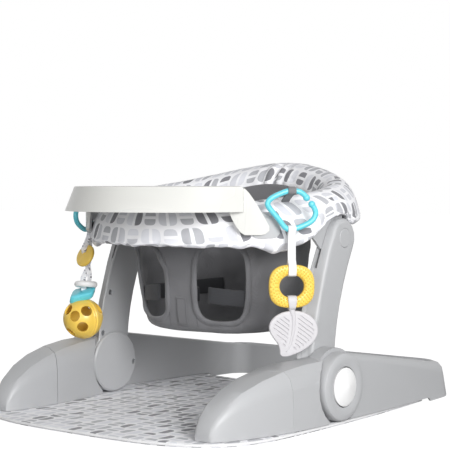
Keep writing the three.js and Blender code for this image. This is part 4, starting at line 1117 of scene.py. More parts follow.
    def print_places(self, rows: Rows) -> Rows:
        """Lays the print on the cover at its true size behind the child, where the inner face shows.

        Args:
            rows: the cover's points.

        Returns:
            Places on the flat cloth, in metres.
        """
        flat = cloth_lengths(rows, True, False)
        loops = np.linalg.norm(np.diff(np.concatenate([rows, rows[:1]], 0), axis=0), axis=2).sum(0) * MM
        turns = 2 * math.pi * np.arange(self.turns + 1) / self.turns - self.true_at
        flat[..., 0] += np.sin(turns)[:, None] * ((loops - loops.mean()) / (2 * math.pi))[None, :]
        return flat

    def inflate(self, cover: Object, rows: Rows) -> None:
        """Lets the padding push the cloth out by a cloth simulation, with its edges held.

        Args:
            cover: the cover.
            rows: its points as built.
        """
        n, m = rows.shape[:2]
        still = cover.vertex_groups.new(name="held")
        edges = [j for j in range(m) if j < self.held_rows or j >= m - self.held_rows]
        still.add([i * m + j for i in range(n) for j in edges], 1.0, "REPLACE")
        before = np.array([v.co for v in cover.data.vertices])
        sim = cover.modifiers.new("cloth", "CLOTH")
        sim.settings.quality = 6
        sim.settings.mass = 0.2
        sim.settings.use_pressure = True
        sim.settings.uniform_pressure_force = self.pressure
        sim.settings.tension_stiffness = 12
        sim.settings.compression_stiffness = 12
        sim.settings.shear_stiffness = 5
        sim.settings.bending_stiffness = 0.3
        sim.settings.shrink_min = -0.035
        sim.settings.vertex_group_mass = "held"
        sim.settings.effector_weights.gravity = 0.0
        sim.collision_settings.use_collision = False
        scene = bpy.context.scene
        for number in range(1, self.frames + 1):
            scene.frame_set(number)
        apply_modifiers(cover)
        scene.frame_set(1)
        after = np.array([v.co for v in cover.data.vertices])
        move = after - before
        length = np.linalg.norm(move, axis=1, keepdims=True)
        under_tray = before[:, 1:2] / MM - BODY_SHIFT < self.tray_line
        cap = np.where(under_tray, self.most_under_tray, self.most) * MM
        move *= np.minimum(1.0, cap / np.maximum(length, 1e-9))
        cover.data.vertices.foreach_set("co", (before + move).ravel())
        cover.vertex_groups.clear()

    def fold(self, cover: Object, rows: Rows) -> None:
        """Adds the gathers at the hem, the folds and the pinched seam behind the child.

        Args:
            cover: the cover after it was inflated.
            rows: its points as built.
        """
        n, m = rows.shape[:2]
        for i in range(n):
            turn = 2 * math.pi * i / n
            out = Vector((math.cos(turn), math.sin(turn), 0))
            x0, y0 = RING.at(turn, 0)
            hem = self.hem(y0)
            arm = self.by_arm(y0)
            behind = abs(turn - math.pi / 2) * RING.reach_x
            pleat = self.pleats.at(x0, y0) + self.crease_depth * (1 - abs(self.creases.at(x0, y0)))
            for j in range(m):
                vertex = cover.data.vertices[i * m + j]
                x, y, z = rows[i, j]
                rise = z - hem
                near_hem = math.exp(-max(rise, 0) / self.gather_fall) if j < self.gather_rows else 0.0
                move = out * (self.gather * (1 - self.gather_by_arm * arm) * pleat * near_hem)
                move.z += near_hem * self.hem_waves.at(x0, y0) * (1 - arm)
                if j >= self.held_rows:
                    beside = 1 - self.arm_calm * arm * (rise < self.arm_height)
                    inside = 1 - self.inner_calm * climb(j, *(m - row for row in self.inner_rows))
                    move += out * (self.folds.at(x, y, z) + self.wrinkles.at(x, y, z)) * beside * inside
                if behind < self.pinch_reach:
                    across = ease(j, *self.pinch_rows)
                    valley = -self.pinch * bump(behind, 0, self.pinch_width)
                    folded = sum(share * bump(behind, at, width) for share, at, width in self.pinch_folds)
                    move += vertex.normal * ((valley + self.pinch_side * folded) * across)
                vertex.co += move * MM

    def build(self) -> None:
        """Builds, inflates, gathers and dresses the cover."""
        rows = self.rows()
        cover = lattice("padded_ring_cover", rows, True, cloth=self.print_places(rows), flip=True)
        self.inflate(cover, rows)
        self.fold(cover, rows)
        thicken(cover, self.thickness, 1.0)
        refine(cover)
        settle(cover, "ring", "cover_cloth", COVER_PRINT, "ring_cover")


@dataclass
class CrotchPatch:
    """The stitched rectangle that holds the crotch webbing on the seat's front."""

    half: float = 10.0
    low: float = 128.0
    high: float = 172.0


@dataclass
class HangingSeat:
    """The cloth seat that hangs in the ring, with two bound leg holes, its panel and harness."""

    turns: int = 168
    levels: int = 44
    rim_x: float = 147.0
    rim_y: float = 124.0
    waist_x: float = 124.0
    waist_y: float = 108.0
    foot_x: float = 112.0
    foot_y: float = 96.0
    bottom: float = 117.0
    waist: float = 200.0
    squareness: float = 0.68
    flare: float = 1.2
    rim_drop: float = 30.4
    round_foot: float = 18.0
    floor_loops: tuple[float, ...] = (0.02, 0.3, 0.55, 0.72, 0.82, 0.89, 0.94, 0.975, 0.995)
    floor_flat: float = 0.82
    floor_turn: float = 0.18
    floor_lift: float = 1.6
    floor_sag: Wave = Wave(40, 1.2, 8.0)
    skin: float = 1.2
    cloth: float = 2.0
    calm: float = 0.8
    calm_below_rim: float = 22.0
    broad: Wave = Wave(34, 3.0, 4.0, (1.0, 1.0, 0.35))
    small: Wave = Wave(17, 1.7, 6.0, (0.7, 0.7, 1.0))
    drag: Wave = Wave(15, 1.0, 11.0, (1.0, 1.0, 0.15))
    drag_depth: float = 2.6
    drag_form: float = 0.3
    hole_half: float = 39.0
    hole_high: float = 57.5
    hole_middle: float = 193.0
    hole_turn: float = math.radians(37.5)
    hole_form: float = 3.5
    hole_cut: Spot = (30.0, 170.0)
    bound: Spot = (3.1, 4.4)
    puckers: Wave = Wave(5.0, 0.3, 2.0)
    bound_waves: Wave = Wave(19.0, 1.0, 6.0)
    front_draw: float = 6.0
    patch: CrotchPatch = field(default_factory=CrotchPatch)
    strap_height: float = 176.0
    strap_width: float = 24.0
    strap_thickness: float = 1.6
    strap_turns: Spot = (math.radians(15), math.radians(150))
    strap_sag: float = 6.0
    strap_inset: float = 4.6
    crotch_thickness: float = 1.8
    crotch_ends: Spot = (4.0, 13.0)
    stitch: Point = (3.1, 2.1, 0.32)
    panel_line: tuple[Spot, ...] = ((27.0, 126.0), (24.0, 170.0), (26.0, 232.0))
    buckle_ahead: float = 0.8

    def rim(self, turn: float) -> float:
        """Returns the height of the seat's top edge at an angle."""
        y0 = RING.at(turn, 0)[1]
        return RING.crest(y0) + RING.slope * (RING.centre + self.rim_y * math.sin(turn) - y0) - self.rim_drop

    def wall(self, turn: float, z: float, inset: float = 0.0, creased: bool = True) -> Point:
        """Finds a point of the seat's wall.

        Args:
            turn: its angle in plan.
            z: its height.
            inset: how far inside the outer face it lies.
            creased: whether the cloth's slack is added.

        Returns:
            The point.
        """
        up = min((z - self.bottom) / (self.waist - self.bottom), 1.0)
        over = max((z - self.waist) / (self.rim(turn) - self.waist), 0.0) ** self.flare
        soft = math.sin(math.pi / 2 * up)
        form = mix(self.squareness, 1.0, over)
        slack = 0.0
        if creased:
            x0, y0 = 120 * math.cos(turn), 110 * math.sin(turn)
            calm = 1 - self.calm * ease(z, self.rim(turn) - self.calm_below_rim, self.rim(turn))
            slack = calm * (self.broad.at(x0, y0, z) + self.small.at(x0, y0, z))
            drag = self.drag.at(x0 * 0.8 + z * 0.5, y0 * 0.8 - z * 0.3, z)
            slack += calm * self.drag_depth * drag * abs(drag) ** self.drag_form
        a = mix(mix(self.foot_x, self.waist_x, soft), self.rim_x, over) - inset - self.skin + slack
        drawn = self.front_draw * ease(-math.sin(turn), 0.1, 0.8) * (1 - over)
        b = mix(mix(self.foot_y, self.waist_y, soft), self.rim_y, over) - inset - self.skin + slack - drawn
        return a * power(math.cos(turn), form), RING.centre + b * power(math.sin(turn), form), z

    def shell(self) -> Object:
        """Makes the seat's cloth, without its leg holes.

        Returns:
            The cloth as a sheet whose faces look outwards.
        """
        rows = []
        low = self.bottom + self.round_foot
        for k in self.floor_loops:
            past = max(k - self.floor_flat, 0) / self.floor_turn
            drop = self.round_foot * math.sqrt(max(1 - past ** 2, 0.0))
            row = []
            for i in range(self.turns):
                turn = 2 * math.pi * i / self.turns
                x, y, _ = self.wall(turn, low)
                sag = self.floor_sag.at(x * k, y * k) * (1 - k ** 6)
                z = low - drop + self.floor_lift + sag
                row.append((x * k, RING.centre + (y - RING.centre) * k, z))
            rows.append(row)
        for level in range(self.levels + 1):
            row = []
            for i in range(self.turns):
                turn = 2 * math.pi * i / self.turns
                row.append(self.wall(turn, mix(low, self.rim(turn) - 0.4, level / self.levels)))
            rows.append(row)
        made = lattice("hanging_seat", np.array(rows), False, True, flip=True)
        shape = bmesh.new()
        shape.from_mesh(made.data)
        shape.verts.ensure_lookup_table()
        shape.faces.new([shape.verts[i] for i in range(self.turns)])
        bmesh.ops.recalc_face_normals(shape, faces=shape.faces)
        centre = Vector((0, (RING.centre + BODY_SHIFT) * MM, self.waist * MM))
        shape.faces.ensure_lookup_table()
        tried = shape.faces[len(shape.faces) // 2]
        if tried.normal.dot(tried.calc_center_median() - centre) < 0:
            bmesh.ops.reverse_faces(shape, faces=shape.faces)
        shape.to_mesh(made.data)
        shape.free()
        return made

    def edge(self, side: Side, across: float, z: float) -> Point:
        """Finds the point of a leg hole's edge on the seat's wall.

        Args:
            side: which leg.
            across: the distance from the hole's middle line.
            z: the height.

        Returns:
            The point, on the wall's outer face.
        """
        run = (side.value * math.cos(self.hole_turn), math.sin(self.hole_turn))
        middle = -math.pi / 2 + side.value * self.hole_turn
        low, high = middle - 1.1, middle + 1.1

        def beyond(turn: float) -> float:
            """Returns how far past the wanted distance the wall lies at an angle."""
            x, y, _ = self.wall(turn, z)
            return x * run[0] + (y - RING.centre) * run[1] - across

        sign = 1 if beyond(high) > beyond(low) else -1
        for _ in range(40):
            turn = (low + high) / 2
            if sign * beyond(turn) > 0:
                high = turn
            else:
                low = turn
        return self.wall(turn, z)

    def hole(self, grow: float = 0.0, count: int = 72) -> list[Spot]:
        """Returns the outline of a leg hole, as distances across it and heights."""
        outline = superellipse(self.hole_half + grow, self.hole_high + grow, self.hole_form, count)
        return [(w, self.hole_middle + h) for w, h in outline]

    def cut_holes(self, seat: Object) -> None:
        """Cuts the two leg holes out of the seat's cloth."""
        for side in Side:
            along = (side.value * math.sin(self.hole_turn), -math.cos(self.hole_turn))
            run = (side.value * math.cos(self.hole_turn), math.sin(self.hole_turn))
            rows = []
            for reach in self.hole_cut:
                x0, y0 = along[0] * reach, along[1] * reach
                rows.append([(run[0] * w + x0, RING.centre + run[1] * w + y0, z) for w, z in self.hole()])
            carve(seat, lattice("leg_hole_tool", np.array(rows), False, True, True))

    def binding(self, side: Side) -> Object:
        """Makes the cloth binding round a leg hole.

        Args:
            side: which leg.

        Returns:
            The binding.
        """
        path = [self.edge(side, w, z) for w, z in self.hole(1.0, 84)]
        centre = Vector((0, RING.centre, self.waist))
        section = superellipse(*self.bound, 2.4, 14)
        made = swept(f"leg_binding_{side.word}", path, section, lambda i: Vector(path[i]) - centre, True)
        for vertex in made.data.vertices:
            place = vertex.co / MM
            vertex.co += vertex.normal * MM * (self.puckers.at(*place) + self.bound_waves.at(*place))
        return refine(made)

    def stitched(self, name: str, points: Sequence[Spot], lift: float) -> Object:
        """Sews a line of stitches on the seat's front.

        Args:
            name: the piece's name.
            points: the line's corners, as X and height.
            lift: how far the thread lies above the wall.

        Returns:
            The stitches.
        """
        path = []
        for (x0, z0), (x1, z1) in zip(points, points[1:]):
            count = max(int(math.hypot(x1 - x0, z1 - z0) / 2), 2)
            path += [self.front(mix(x0, x1, k / count), mix(z0, z1, k / count), lift) for k in range(count)]
        return stitch_row(name, path, [(0, -1, 0)] * len(path), *self.stitch)

    def front(self, x: float, z: float, lift: float) -> Point:
        """Finds a point of the seat's front face.

        Args:
            x: the place across.
            z: the height.
            lift: how far ahead of the face it lies.

        Returns:
            The point.
        """
        low, high = -math.pi + 0.01, -0.01
        for _ in range(40):
            turn = (low + high) / 2
            if self.wall(turn, z)[0] > x:
                high = turn
            else:
                low = turn
        at = self.wall(turn, z)
        return at[0], at[1] - lift, at[2]

    def patch_sheet(self) -> Object:
        """Makes the raised rectangle of webbing on the seat's front."""
        rows = []
        for i in range(13):
            z = mix(self.patch.low, self.patch.high, i / 12)
            rows.append([self.front(mix(-self.patch.half, self.patch.half, j / 8), z, 0.9) for j in range(9)])
        made = lattice("crotch_patch", np.array(rows))
        return refine(thicken(made, 1.2, 0.0))

    def straps(self) -> None:
        """Makes the waist webbing, the crotch webbing and the buckle inside the seat."""
        for side in Side:
            path = []
            for k in range(40):
                turn = -math.pi / 2 + side.value * mix(*self.strap_turns, k / 39)
                sag = self.strap_sag * math.sin(math.pi * k / 39)
                path.append(self.wall(turn, self.strap_height - sag, self.strap_inset, False))
            section = tape_section(self.strap_thickness, self.strap_width)
            out = [(x, y - RING.centre, 0.0) for x, y, _ in path]
            strap = swept(f"waist_webbing_{side.word}", path, section, lambda i, out=out: out[i], False, True)
            settle(strap, "ring", "webbing", HARNESS_WEBBING, f"waist_strap_{side.word}")
        low = self.bottom + self.round_foot + self.crotch_ends[0]
        heights = np.linspace(low, self.strap_height - self.crotch_ends[1], 12)
        path = [(0, self.wall(-math.pi / 2, z, self.strap_inset, False)[1], z) for z in heights]
        section = tape_section(self.crotch_thickness, self.strap_width)
        strap = swept("crotch_webbing", path, section, lambda i: (0, 1, 0), False, True)
        settle(strap, "ring", "webbing", HARNESS_WEBBING, "crotch_strap")
        self.buckle()

    def buckle(self) -> None:
        """Makes the side-release buckle that joins the webbing."""
        low, high = (Vector(c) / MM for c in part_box("harness_buckle"))
        y0 = low.y - BODY_SHIFT + self.buckle_ahead + self.front_draw
        middle = (low.z + high.z) / 2

        def plate(name: str, outline: Sequence[Spot], near: float, far: float, edge: float) -> Object:
            """Makes a plate with eased edges from its outline and where it starts and ends in depth."""
            rows = []
            for depth, inset in ((near, edge), (near + edge, 0.0), (far - edge, 0.0), (far, edge)):
                size = 1 - inset / 14
                rows.append([(x * size, y0 + depth, middle + z * size) for x, z in outline])
            return lattice(name, np.array(rows), False, True, True)

        body = plate("buckle_body", rounded_box(30, 28, 5), 0.5, 12.5, 1.2)
        for x in (-15.0, 15.0):
            notch = [(x + a, b) for a, b in superellipse(4.2, 8, 2.6, 24)]
            carve(body, plate("buckle_tool", notch, -2.0, 16.0, 0.0))
        settle(crisp(body), "ring", "black_plastic", BLACK_PLASTIC, "harness_buckle")
        for side in Side:
            outline = [(side.value * 16 + a, b) for a, b in rounded_box(14, 22, 3)]
            prong = plate(f"buckle_prong_{side.word}", outline, 2.2, 10.5, 0.8)
            settle(crisp(prong), "ring", "black_plastic", BLACK_PLASTIC)

    def build(self) -> None:
        """Builds the seat with its bindings, stitches and harness."""
        seat = self.shell()
        thicken(seat, self.cloth)
        self.cut_holes(seat)
        settle(seat, "ring", "seat_cloth", SEAT_CLOTH, "seat_bucket")
        for side in Side:
            settle(self.binding(side), "ring", "seat_cloth", BINDING_CLOTH)
        settle(self.patch_sheet(), "ring", "seat_cloth", SEAT_CLOTH)
        half, low, high = self.patch.half - 2, self.patch.low + 3, self.patch.high - 3
        box = [(-half, low), (half, low), (half, high), (-half, high), (-half, low)]
        settle(self.stitched("patch_stitches", box, 1.6), "ring", "seat_cloth", SEAT_THREAD)
        for side in Side:
            line = [(side.value * x, z) for x, z in self.panel_line]
            settle(self.stitched(f"panel_stitches_{side.word}", line, 0.2), "ring", "seat_cloth", SEAT_THREAD)
        self.straps()


@dataclass
class FloorMat:
    """The printed mat that the base stands on, bound at its edge."""

    thickness: float = 5.7
    front: float = 284.0
    half: float = 248.0
    rear: float = 257.0
    rear_half: float = 226.0
    hollow: float = 23.0
    shape: float = 3.4
    shoulder: float = 96.0
    centre: Spot = (0.0, -20.0)

    # the layers of the edge, as inset and height, and the insets of the upper face's border
    edge: tuple[Spot, ...] = ((4.0, 0.15), (0.9, 0.4), (0.3, 1.6), (0.3, 3.4), (1.0, 4.6))
    border: tuple[float, ...] = (3.0, 6.0, 10.0, 16.0, 24.0)
    border_drop: float = 0.6
    border_fall: float = 6.0
    loops: int = 40

    # where the base presses the mat flat
    legs: Spot = (148.0, 168.0)
    front_edge: Spot = (-262.0, -200.0)
    rear_edge: Spot = (225.0, 245.0)
    front_lip: Spot = (-262.0, -235.0)
    corners: Spot = (200.0, 235.0)
    lip_share: float = 0.6
    broad: Wave = Wave(62, 1.3, 3.0)
    small: Wave = Wave(27, 0.5, 7.0, (1.0, 1.6, 1.0))
    puff: float = 0.4
    sunk: float = 0.3

    binding: Spot = (2.0, 2.7)
    binding_form: float = 2.6
    binding_inset: float = 2.1
    binding_height: float = 3.0
    binding_waves: Wave = Wave(14, 0.25, 1.0)

    def outline(self, inset: float) -> list[Spot]:
        """Draws the mat's edge.

        Args:
            inset: how far inside the edge the line runs.

        Returns:
            Points round the mat.
        """
        half, front, rear, rear_half = (v - inset for v in (self.half, self.front, self.rear, self.rear_half))
        right = []
        for k in range(71):
            a = math.pi / 2 * k / 70
            right.append((half * power(math.sin(a), 2 / self.shape),
                          -self.shoulder - (front - self.shoulder) * power(math.cos(a), 2 / self.shape)))
        for k in range(1, 24):
            right.append((mix(half, rear_half, (k / 24) ** 2), mix(-self.shoulder, rear, k / 24)))
        for k in range(31):
            right.append((rear_half * (1 - k / 30), rear - self.hollow * math.sin(math.pi / 2 * k / 30)))
        return right + [(-x, y) for x, y in reversed(right[1:-1])]

    def height(self, x: float, y: float) -> float:
        """Finds the mat's upper face, with its waves where nothing presses on it.

        Args:
            x: the place across.
            y: the place along.

        Returns:
            The height.
        """
        free = (1 - ease(abs(x), *self.legs)) * ease(y, *self.front_edge) * (1 - ease(y, *self.rear_edge))
        front = (1 - ease(y, *self.front_lip)) * (1 - ease(abs(x), *self.corners))
        wave = self.broad.at(x, y) + self.small.at(x, y) + self.puff
        return self.thickness - self.sunk + wave * max(free, self.lip_share * front)

    def build(self) -> None:
        """Builds the mat and its binding."""
        rows = [[(x, y, z) for x, y in self.outline(inset)] for inset, z in self.edge]
        for inset in self.border:
            drop = self.border_drop * math.exp(-inset / self.border_fall)
            rows.append([(x, y, self.height(x, y) - drop) for x, y in self.outline(inset)])
        base = np.array(self.outline(self.border[-1]))
        centre = np.array(self.centre)
        for reach in np.linspace(1, 0.02, self.loops)[1:]:
            rows.append([(x, y, self.height(x, y)) for x, y in centre + (base - centre) * reach])
        mat = lattice("printed_floor_mat", np.array(rows), False, True, True)
        settle(mat, "base", "mat_cloth", MAT_PRINT, "floor_mat")
        line = self.outline(self.binding_inset)
        path = [(x, y, self.binding_height + self.binding_waves.at(x, y)) for x, y in line]
        section = superellipse(*self.binding, self.binding_form, 12)
        binding = swept("mat_binding", path, section, lambda i: (0, 0, 1), True)
        settle(binding, "base", "mat_cloth", MAT_BINDING_CLOTH)


# Toys


@dataclass(frozen=True)
class Hung:
    """The upright plane that a toy hangs in."""

    x: float
    y: float
    turn: float
    low: float

    def at(self, across: float, depth: float, z: float) -> Point:
        """Returns a place from its distance across the plane, its depth behind it and its height."""
        c, s = math.cos(self.turn), math.sin(self.turn)
        return self.x + across * c - depth * s, self.y + across * s + depth * c, z

    def way(self, across: float, depth: float, up: float = 0.0) -> Vector:
        """Returns a direction from its parts across the plane, behind it and up."""
        c, s = math.cos(self.turn), math.sin(self.turn)
        return Vector((across * c - depth * s, across * s + depth * c, up)).normalized()


RIGHT_TOY = Hung(203.0, -57.0, math.radians(50), 276.0)
LEFT_TOY = Hung(-192.0, -64.0, CAMERA_TURN, 268.0)
LEFT_LINK = Hung(-192.0, -64.0, math.radians(-70), 268.0)


def turned(name: str, profile: Sequence[Spot], centre: Sequence[float], axis: Sequence[float],
           count: int) -> Object:
    """Makes a closed solid of revolution.

    Args:
        name: the object's name.
        profile: its closed section, as radius and place along the axis.
        centre: where the axis starts, in millimetres.
        axis: its direction.
        count: number of sections.

    Returns:
        The object.
    """
    ahead = Vector(axis).normalized()
    side = ahead.orthogonal().normalized()
    other = ahead.cross(side)
    rows = []
    for i in range(count):
        a = 2 * math.pi * i / count
        out = side * math.cos(a) + other * math.sin(a)
        rows.append([tuple(Vector(centre) + out * r + ahead * h) for r, h in profile])
    return lattice(name, np.array(rows), True, True)


def smooth_line(points: Sequence[Sequence[float]], count: int, closed: bool = False) -> list[Vector]:
    """Runs a smooth curve through points.

    Args:
        points: the points, of two or three numbers.
        count: number of points in each stretch.
        closed: whether it returns to its start.

    Returns:
        Points of the curve.
    """
    fixed = [Vector(p).to_3d() if len(p) == 2 else Vector(p) for p in points]
    n = len(fixed)
    pick = (lambda k: fixed[k % n]) if closed else (lambda k: fixed[min(max(k, 0), n - 1)])
    line = []
    for k in range(n if closed else n - 1):
        p, q, r, s = pick(k - 1), pick(k), pick(k + 1), pick(k + 2)
        for i in range(count):
            t = i / count
            square = (2 * p - 5 * q + 4 * r - s) * t * t
            cube = (3 * q - p - 3 * r + s) * t ** 3
            line.append(0.5 * (2 * q + (r - p) * t + square + cube))
    return line if closed else line + [fixed[-1]]


def within(edge: Sequence[Spot], x: float, z: float) -> bool:
    """Finds whether a place lies inside a closed outline.

    Args:
        edge: the outline's points.
        x: the place across.
        z: its height.

    Returns:
        True inside.
    """
    inside = False
    for i, (ax, az) in enumerate(edge):
        bx, bz = edge[(i + 1) % len(edge)]
        if (az > z) != (bz > z) and x < (bx - ax) * (z - az) / (bz - az) + ax:
            inside = not inside
    return inside


@dataclass
class ToyLink:
    """A plastic link that is open at one corner, with a round tip on each end."""

    place: Hung
    side: Side
    bar: float = 3.9
    tip: float = 4.9
    tip_steps: int = 14
    height: float = 53.6
    drawn_height: float = 56.4
    corners: tuple[Spot, ...] = (
        (21.1, 17.7), (16.6, 23.2), (9.6, 27.0), (-1.8, 28.2), (-14.0, 24.7), (-28.2, 17.6),
        (-34.0, 10.5), (-31.7, 3.0), (-19.4, -12.3), (-9.8, -25.0), (-1.8, -28.2), (10.6, -25.4),
        (26.4, -17.7), (33.0, -9.8), (33.8, -1.0), (28.6, 8.4),
    )

    def build(self) -> None:
        """Builds the link and its two tips."""
        squeeze = self.height / self.drawn_height
        middle = self.place.low + self.height / 2
        path = [self.place.at(p.x, 0.0, middle + p.y * squeeze) for p in smooth_line(self.corners, 8)]
        word, body = self.side.word, f"link_{self.side.word}"
        section = superellipse(self.bar, self.bar, 2, 20)
        bar = swept(f"toy_link_bar_{word}", path, section, lambda i: self.place.way(0, 1))
        settle(bar, body, "teal_plastic", TEAL_PLASTIC, f"toy_link_{word}")
        turns = [math.pi * k / self.tip_steps for k in range(self.tip_steps + 1)]
        ball = [(self.tip * math.sin(a) + AXIS_GAP, -self.tip * math.cos(a)) for a in turns]
        for number, end in enumerate((path[0], path[-1])):
            tip = turned(f"toy_link_tip_{word}_{number}", ball, end, (0, 0, 1), 24)
            settle(tip, body, "teal_plastic", TEAL_PLASTIC)


def loop_band(name: str, place: Hung, points: Sequence[Spot], width: float, thickness: float) -> Object:
    """Makes a closed tape from its side view.

    Args:
        name: the object's name.
        place: the toy's plane.
        points: the side view, as depth and height, anticlockwise.
        width: the tape's width.
        thickness: its thickness.

    Returns:
        The tape.
    """
    path = [place.at(0.0, p.x, p.y) for p in smooth_line(points, 4, True)]

    def out(i: int) -> Vector:
        """Returns the direction out of the loop at a point of the path."""
        run = Vector(path[(i + 1) % len(path)]) - Vector(path[i - 1])
        return run.cross(place.way(1, 0))

    return swept(name, path, tape_section(thickness, width), out, True, True)


@dataclass
class ToyLoop:
    """The grey tape that is sewn to the cover and carries a link."""

    place: Hung
    side: Side
    top: float = 53.6
    eye: float = 5.1
    eye_front: tuple[Spot, ...] = ((-1.0, 0.0), (-0.7, -0.75), (0.0, -1.0), (0.8, -0.8))
    eye_rear: tuple[Spot, ...] = ((1.2, 0.1), (0.7, 0.75), (0.0, 1.0), (-0.7, 0.75))
    width: float = 11.5
    thickness: float = 1.0
    lap: float = 20.0
    start: float = 1.5
    fall: float = 17.0
    fold: float = 1.5
    tail: tuple[Spot, ...] = ((0.3, 0.26), (0.6, 0.5), (0.85, 0.8), (1.0, 1.0))
    step: float = 0.5

    def reach(self) -> float:
        """Finds how far behind the link the tape is sewn down.

        Returns:
            The distance, a lap past the cover's outer line.
        """
        depth = 0.0
        while True:
            x, y, _ = self.place.at(0.0, depth, 0.0)
            if math.hypot(x / RING.reach_x, (y - RING.centre) / RING.reach_y) < 1:
                return depth + self.lap
            depth += self.step

    def build(self) -> None:
        """Builds the tape: an eye round the link's top bar and two layers back to the cover."""
        z, far = self.place.low + self.top, self.reach()
        upper = [(far * a, z - self.start - (self.fall - self.start) * b) for a, b in self.tail]
        under = [(x, height - self.fold) for x, height in upper]
        front = [(self.eye * a, z + self.eye * b) for a, b in self.eye_front]
        rear = [(self.eye * a, z + self.eye * b) for a, b in self.eye_rear]
        word = self.side.word
        line = front + under + upper[::-1] + rear
        tape = loop_band(f"toy_loop_tape_{word}", self.place, line, self.width, self.thickness)
        settle(tape, "ring", "loop_cloth", LOOP_WEBBING, f"toy_loop_{word}")


@dataclass
class RightToy:
    """The ribbon, the nubbed teething ring and the leaf."""

    place: Hung = RIGHT_TOY
    centre: float = 197.0

    # the white ribbon: half of its side view at the link, and at the ring
    ribbon_width: float = 11.5
    ribbon_thickness: float = 0.9
    ribbon_top: tuple[Spot, ...] = (
        (5.0, 0.0), (3.4, 3.8), (0.0, 5.2), (-3.4, 3.8), (-5.0, 0.0), (-2.2, -7.0), (-1.0, -14.0),
    )
    ribbon_foot: tuple[Spot, ...] = ((-1.0, 16.0), (-3.0, 11.0), (-6.1, 5.0), (-6.1, -5.0), (-3.6, -8.4))

    # the teething ring and its nubs
    outer: Spot = (32.5, 30.0)
    hole: Spot = (17.5, 15.8)
    half: float = 5.0
    squareness: float = 2.7
    forms: Spot = (0.62, 0.72)
    nub: float = 1.5
    nub_rise: float = 2.1
    nub_pitch: float = 5.0
    nub_rows: tuple[float, ...] = (0.2, 0.4, 0.6, 0.8)
    nub_sides: int = 8
    nub_layers: tuple[Spot, ...] = ((1.0, -0.3), (0.92, 0.25), (0.55, 0.75))
    nub_top: float = 0.9
    square_length: float = 1.06

    # the leaf's edge and layers, its ridges' grooves, its midrib and its loop
    leaf_line: tuple[Spot, ...] = (
        (2, 163), (13.6, 161.8), (25, 157), (33.6, 148.8), (37.4, 139.5), (37.4, 130.5), (33.2, 121.6),
        (25, 113), (13.6, 106), (2, 101.5), (-6.4, 99), (-13.6, 99.4), (-17, 103), (-17.4, 109),
        (-20.2, 117.5), (-26.5, 126), (-31.3, 134.5), (-32.3, 142), (-29, 150), (-22, 156.7), (-11.5, 161.4),
    )
    leaf_layers: tuple[Spot, ...] = (
        (2.6, -2.4), (1.2, -2.2), (0.3, -1.3), (0.0, 0.0), (0.3, 1.3), (1.2, 2.2), (2.6, 2.4),
    )
    groove_slope: float = math.tan(math.radians(-36))
    groove_numbers: tuple[int, int] = (-8, 13)
    groove_middle: float = 133.0
    groove_pitch: float = 6.3
    groove_margin: float = 6.2
    groove_rib_gap: float = 6.4
    groove_step: float = 0.5
    groove_steps: int = 90
    least_steps: int = 8
    groove_section: tuple[Spot, ...] = ((-1.5, 3.6), (1.5, 3.6), (0.9, 0.9), (-0.9, 0.9))
    midrib: tuple[Spot, ...] = (
        (0.4, 168), (0.9, 161), (2.6, 152.5), (2.2, 137), (-0.4, 123.5), (-3.6, 113.5), (-8.2, 106.5),
    )
    rib_width: Spot = (5.0, 1.8)
    rib_depth: Spot = (4.6, 3.0)
    loop_width: float = 13.0
    loop_thickness: float = 1.8
    loop_line: tuple[Spot, ...] = (
        (6.6, 0.0), (6.3, 5.0), (4.0, 8.7), (0.0, 9.3), (-4.0, 8.7), (-6.3, 5.0), (-6.6, 0.0), (-6.0, -6.0),
        (-3.4, -9.0), (0.0, -9.6), (3.4, -9.0), (6.0, -6.0),
    )
    loop_foot: float = 0.72
    loop_taper: Spot = (6.0, 16.0)

    def bar(self) -> float:
        """Returns how far the middle of the ring's bar is from its centre, above and below."""
        return (self.outer[1] + self.hole[1]) / 2

    def ribbon(self) -> None:
        """Builds the white ribbon between the link and the ring."""
        top, bar = self.place.low, self.centre + self.bar()
        side = [(x, top + z) for x, z in self.ribbon_top] + [(x, bar + z) for x, z in self.ribbon_foot]
        side += [(-x, bar + z) for x, z in reversed(self.ribbon_foot)]
        side += [(-x, top + z) for x, z in reversed(self.ribbon_top[-2:])]
        made = loop_band("white_ribbon", self.place, side, self.ribbon_width, self.ribbon_thickness)
        settle(made, "toy_right", "ribbon_cloth", WHITE_RIBBON, "ribbon_right")

    def ring(self) -> None:
        """Builds the teething ring."""
        wide, deep = self.forms
        turns = np.linspace(0, 2 * math.pi, 27)[:-1]
        section = [(0.5 + 0.5 * power(math.cos(a), wide), self.half * power(math.sin(a), deep))
                   for a in turns]
        form = 2 / self.squareness
        rows = []
        for i in range(96):
            a = 2 * math.pi * i / 96
            far = (self.outer[0] * power(math.cos(a), form), self.outer[1] * power(math.sin(a), form))
            near = (self.hole[0] * math.cos(a), self.hole[1] * math.sin(a))
            row = []
            for k, depth in section:
                z = self.centre + mix(near[1], far[1], k)
                row.append(self.place.at(mix(near[0], far[0], k), depth, z))
            rows.append(row)
        ring = lattice("teething_ring", np.array(rows), True, True)
        settle(ring, "toy_right", "yellow_plastic", YELLOW_PLASTIC, "teether_ring")

    def nub_points(self, x: float, z: float, face: float) -> list[Point]:
        """Lays the points of one nub.

        Args:
            x: its place across, from the ring's centre.
            z: its height, from the ring's centre.
            face: the depth of the ring's face there, negative in front.

        Returns:
            Its layers from the foot up, and its top.
        """
        way = math.copysign(1.0, face)
        points = []
        for level, rise in self.nub_layers:
            for j in range(self.nub_sides):
                a = 2 * math.pi * j / self.nub_sides
                across, up = self.nub * level * math.cos(a), self.nub * level * math.sin(a)
                depth = face + way * rise * self.nub_rise
                points.append(self.place.at(x + across, depth, self.centre + z + up))
        return points + [self.place.at(x, face + way * self.nub_top * self.nub_rise, self.centre + z)]

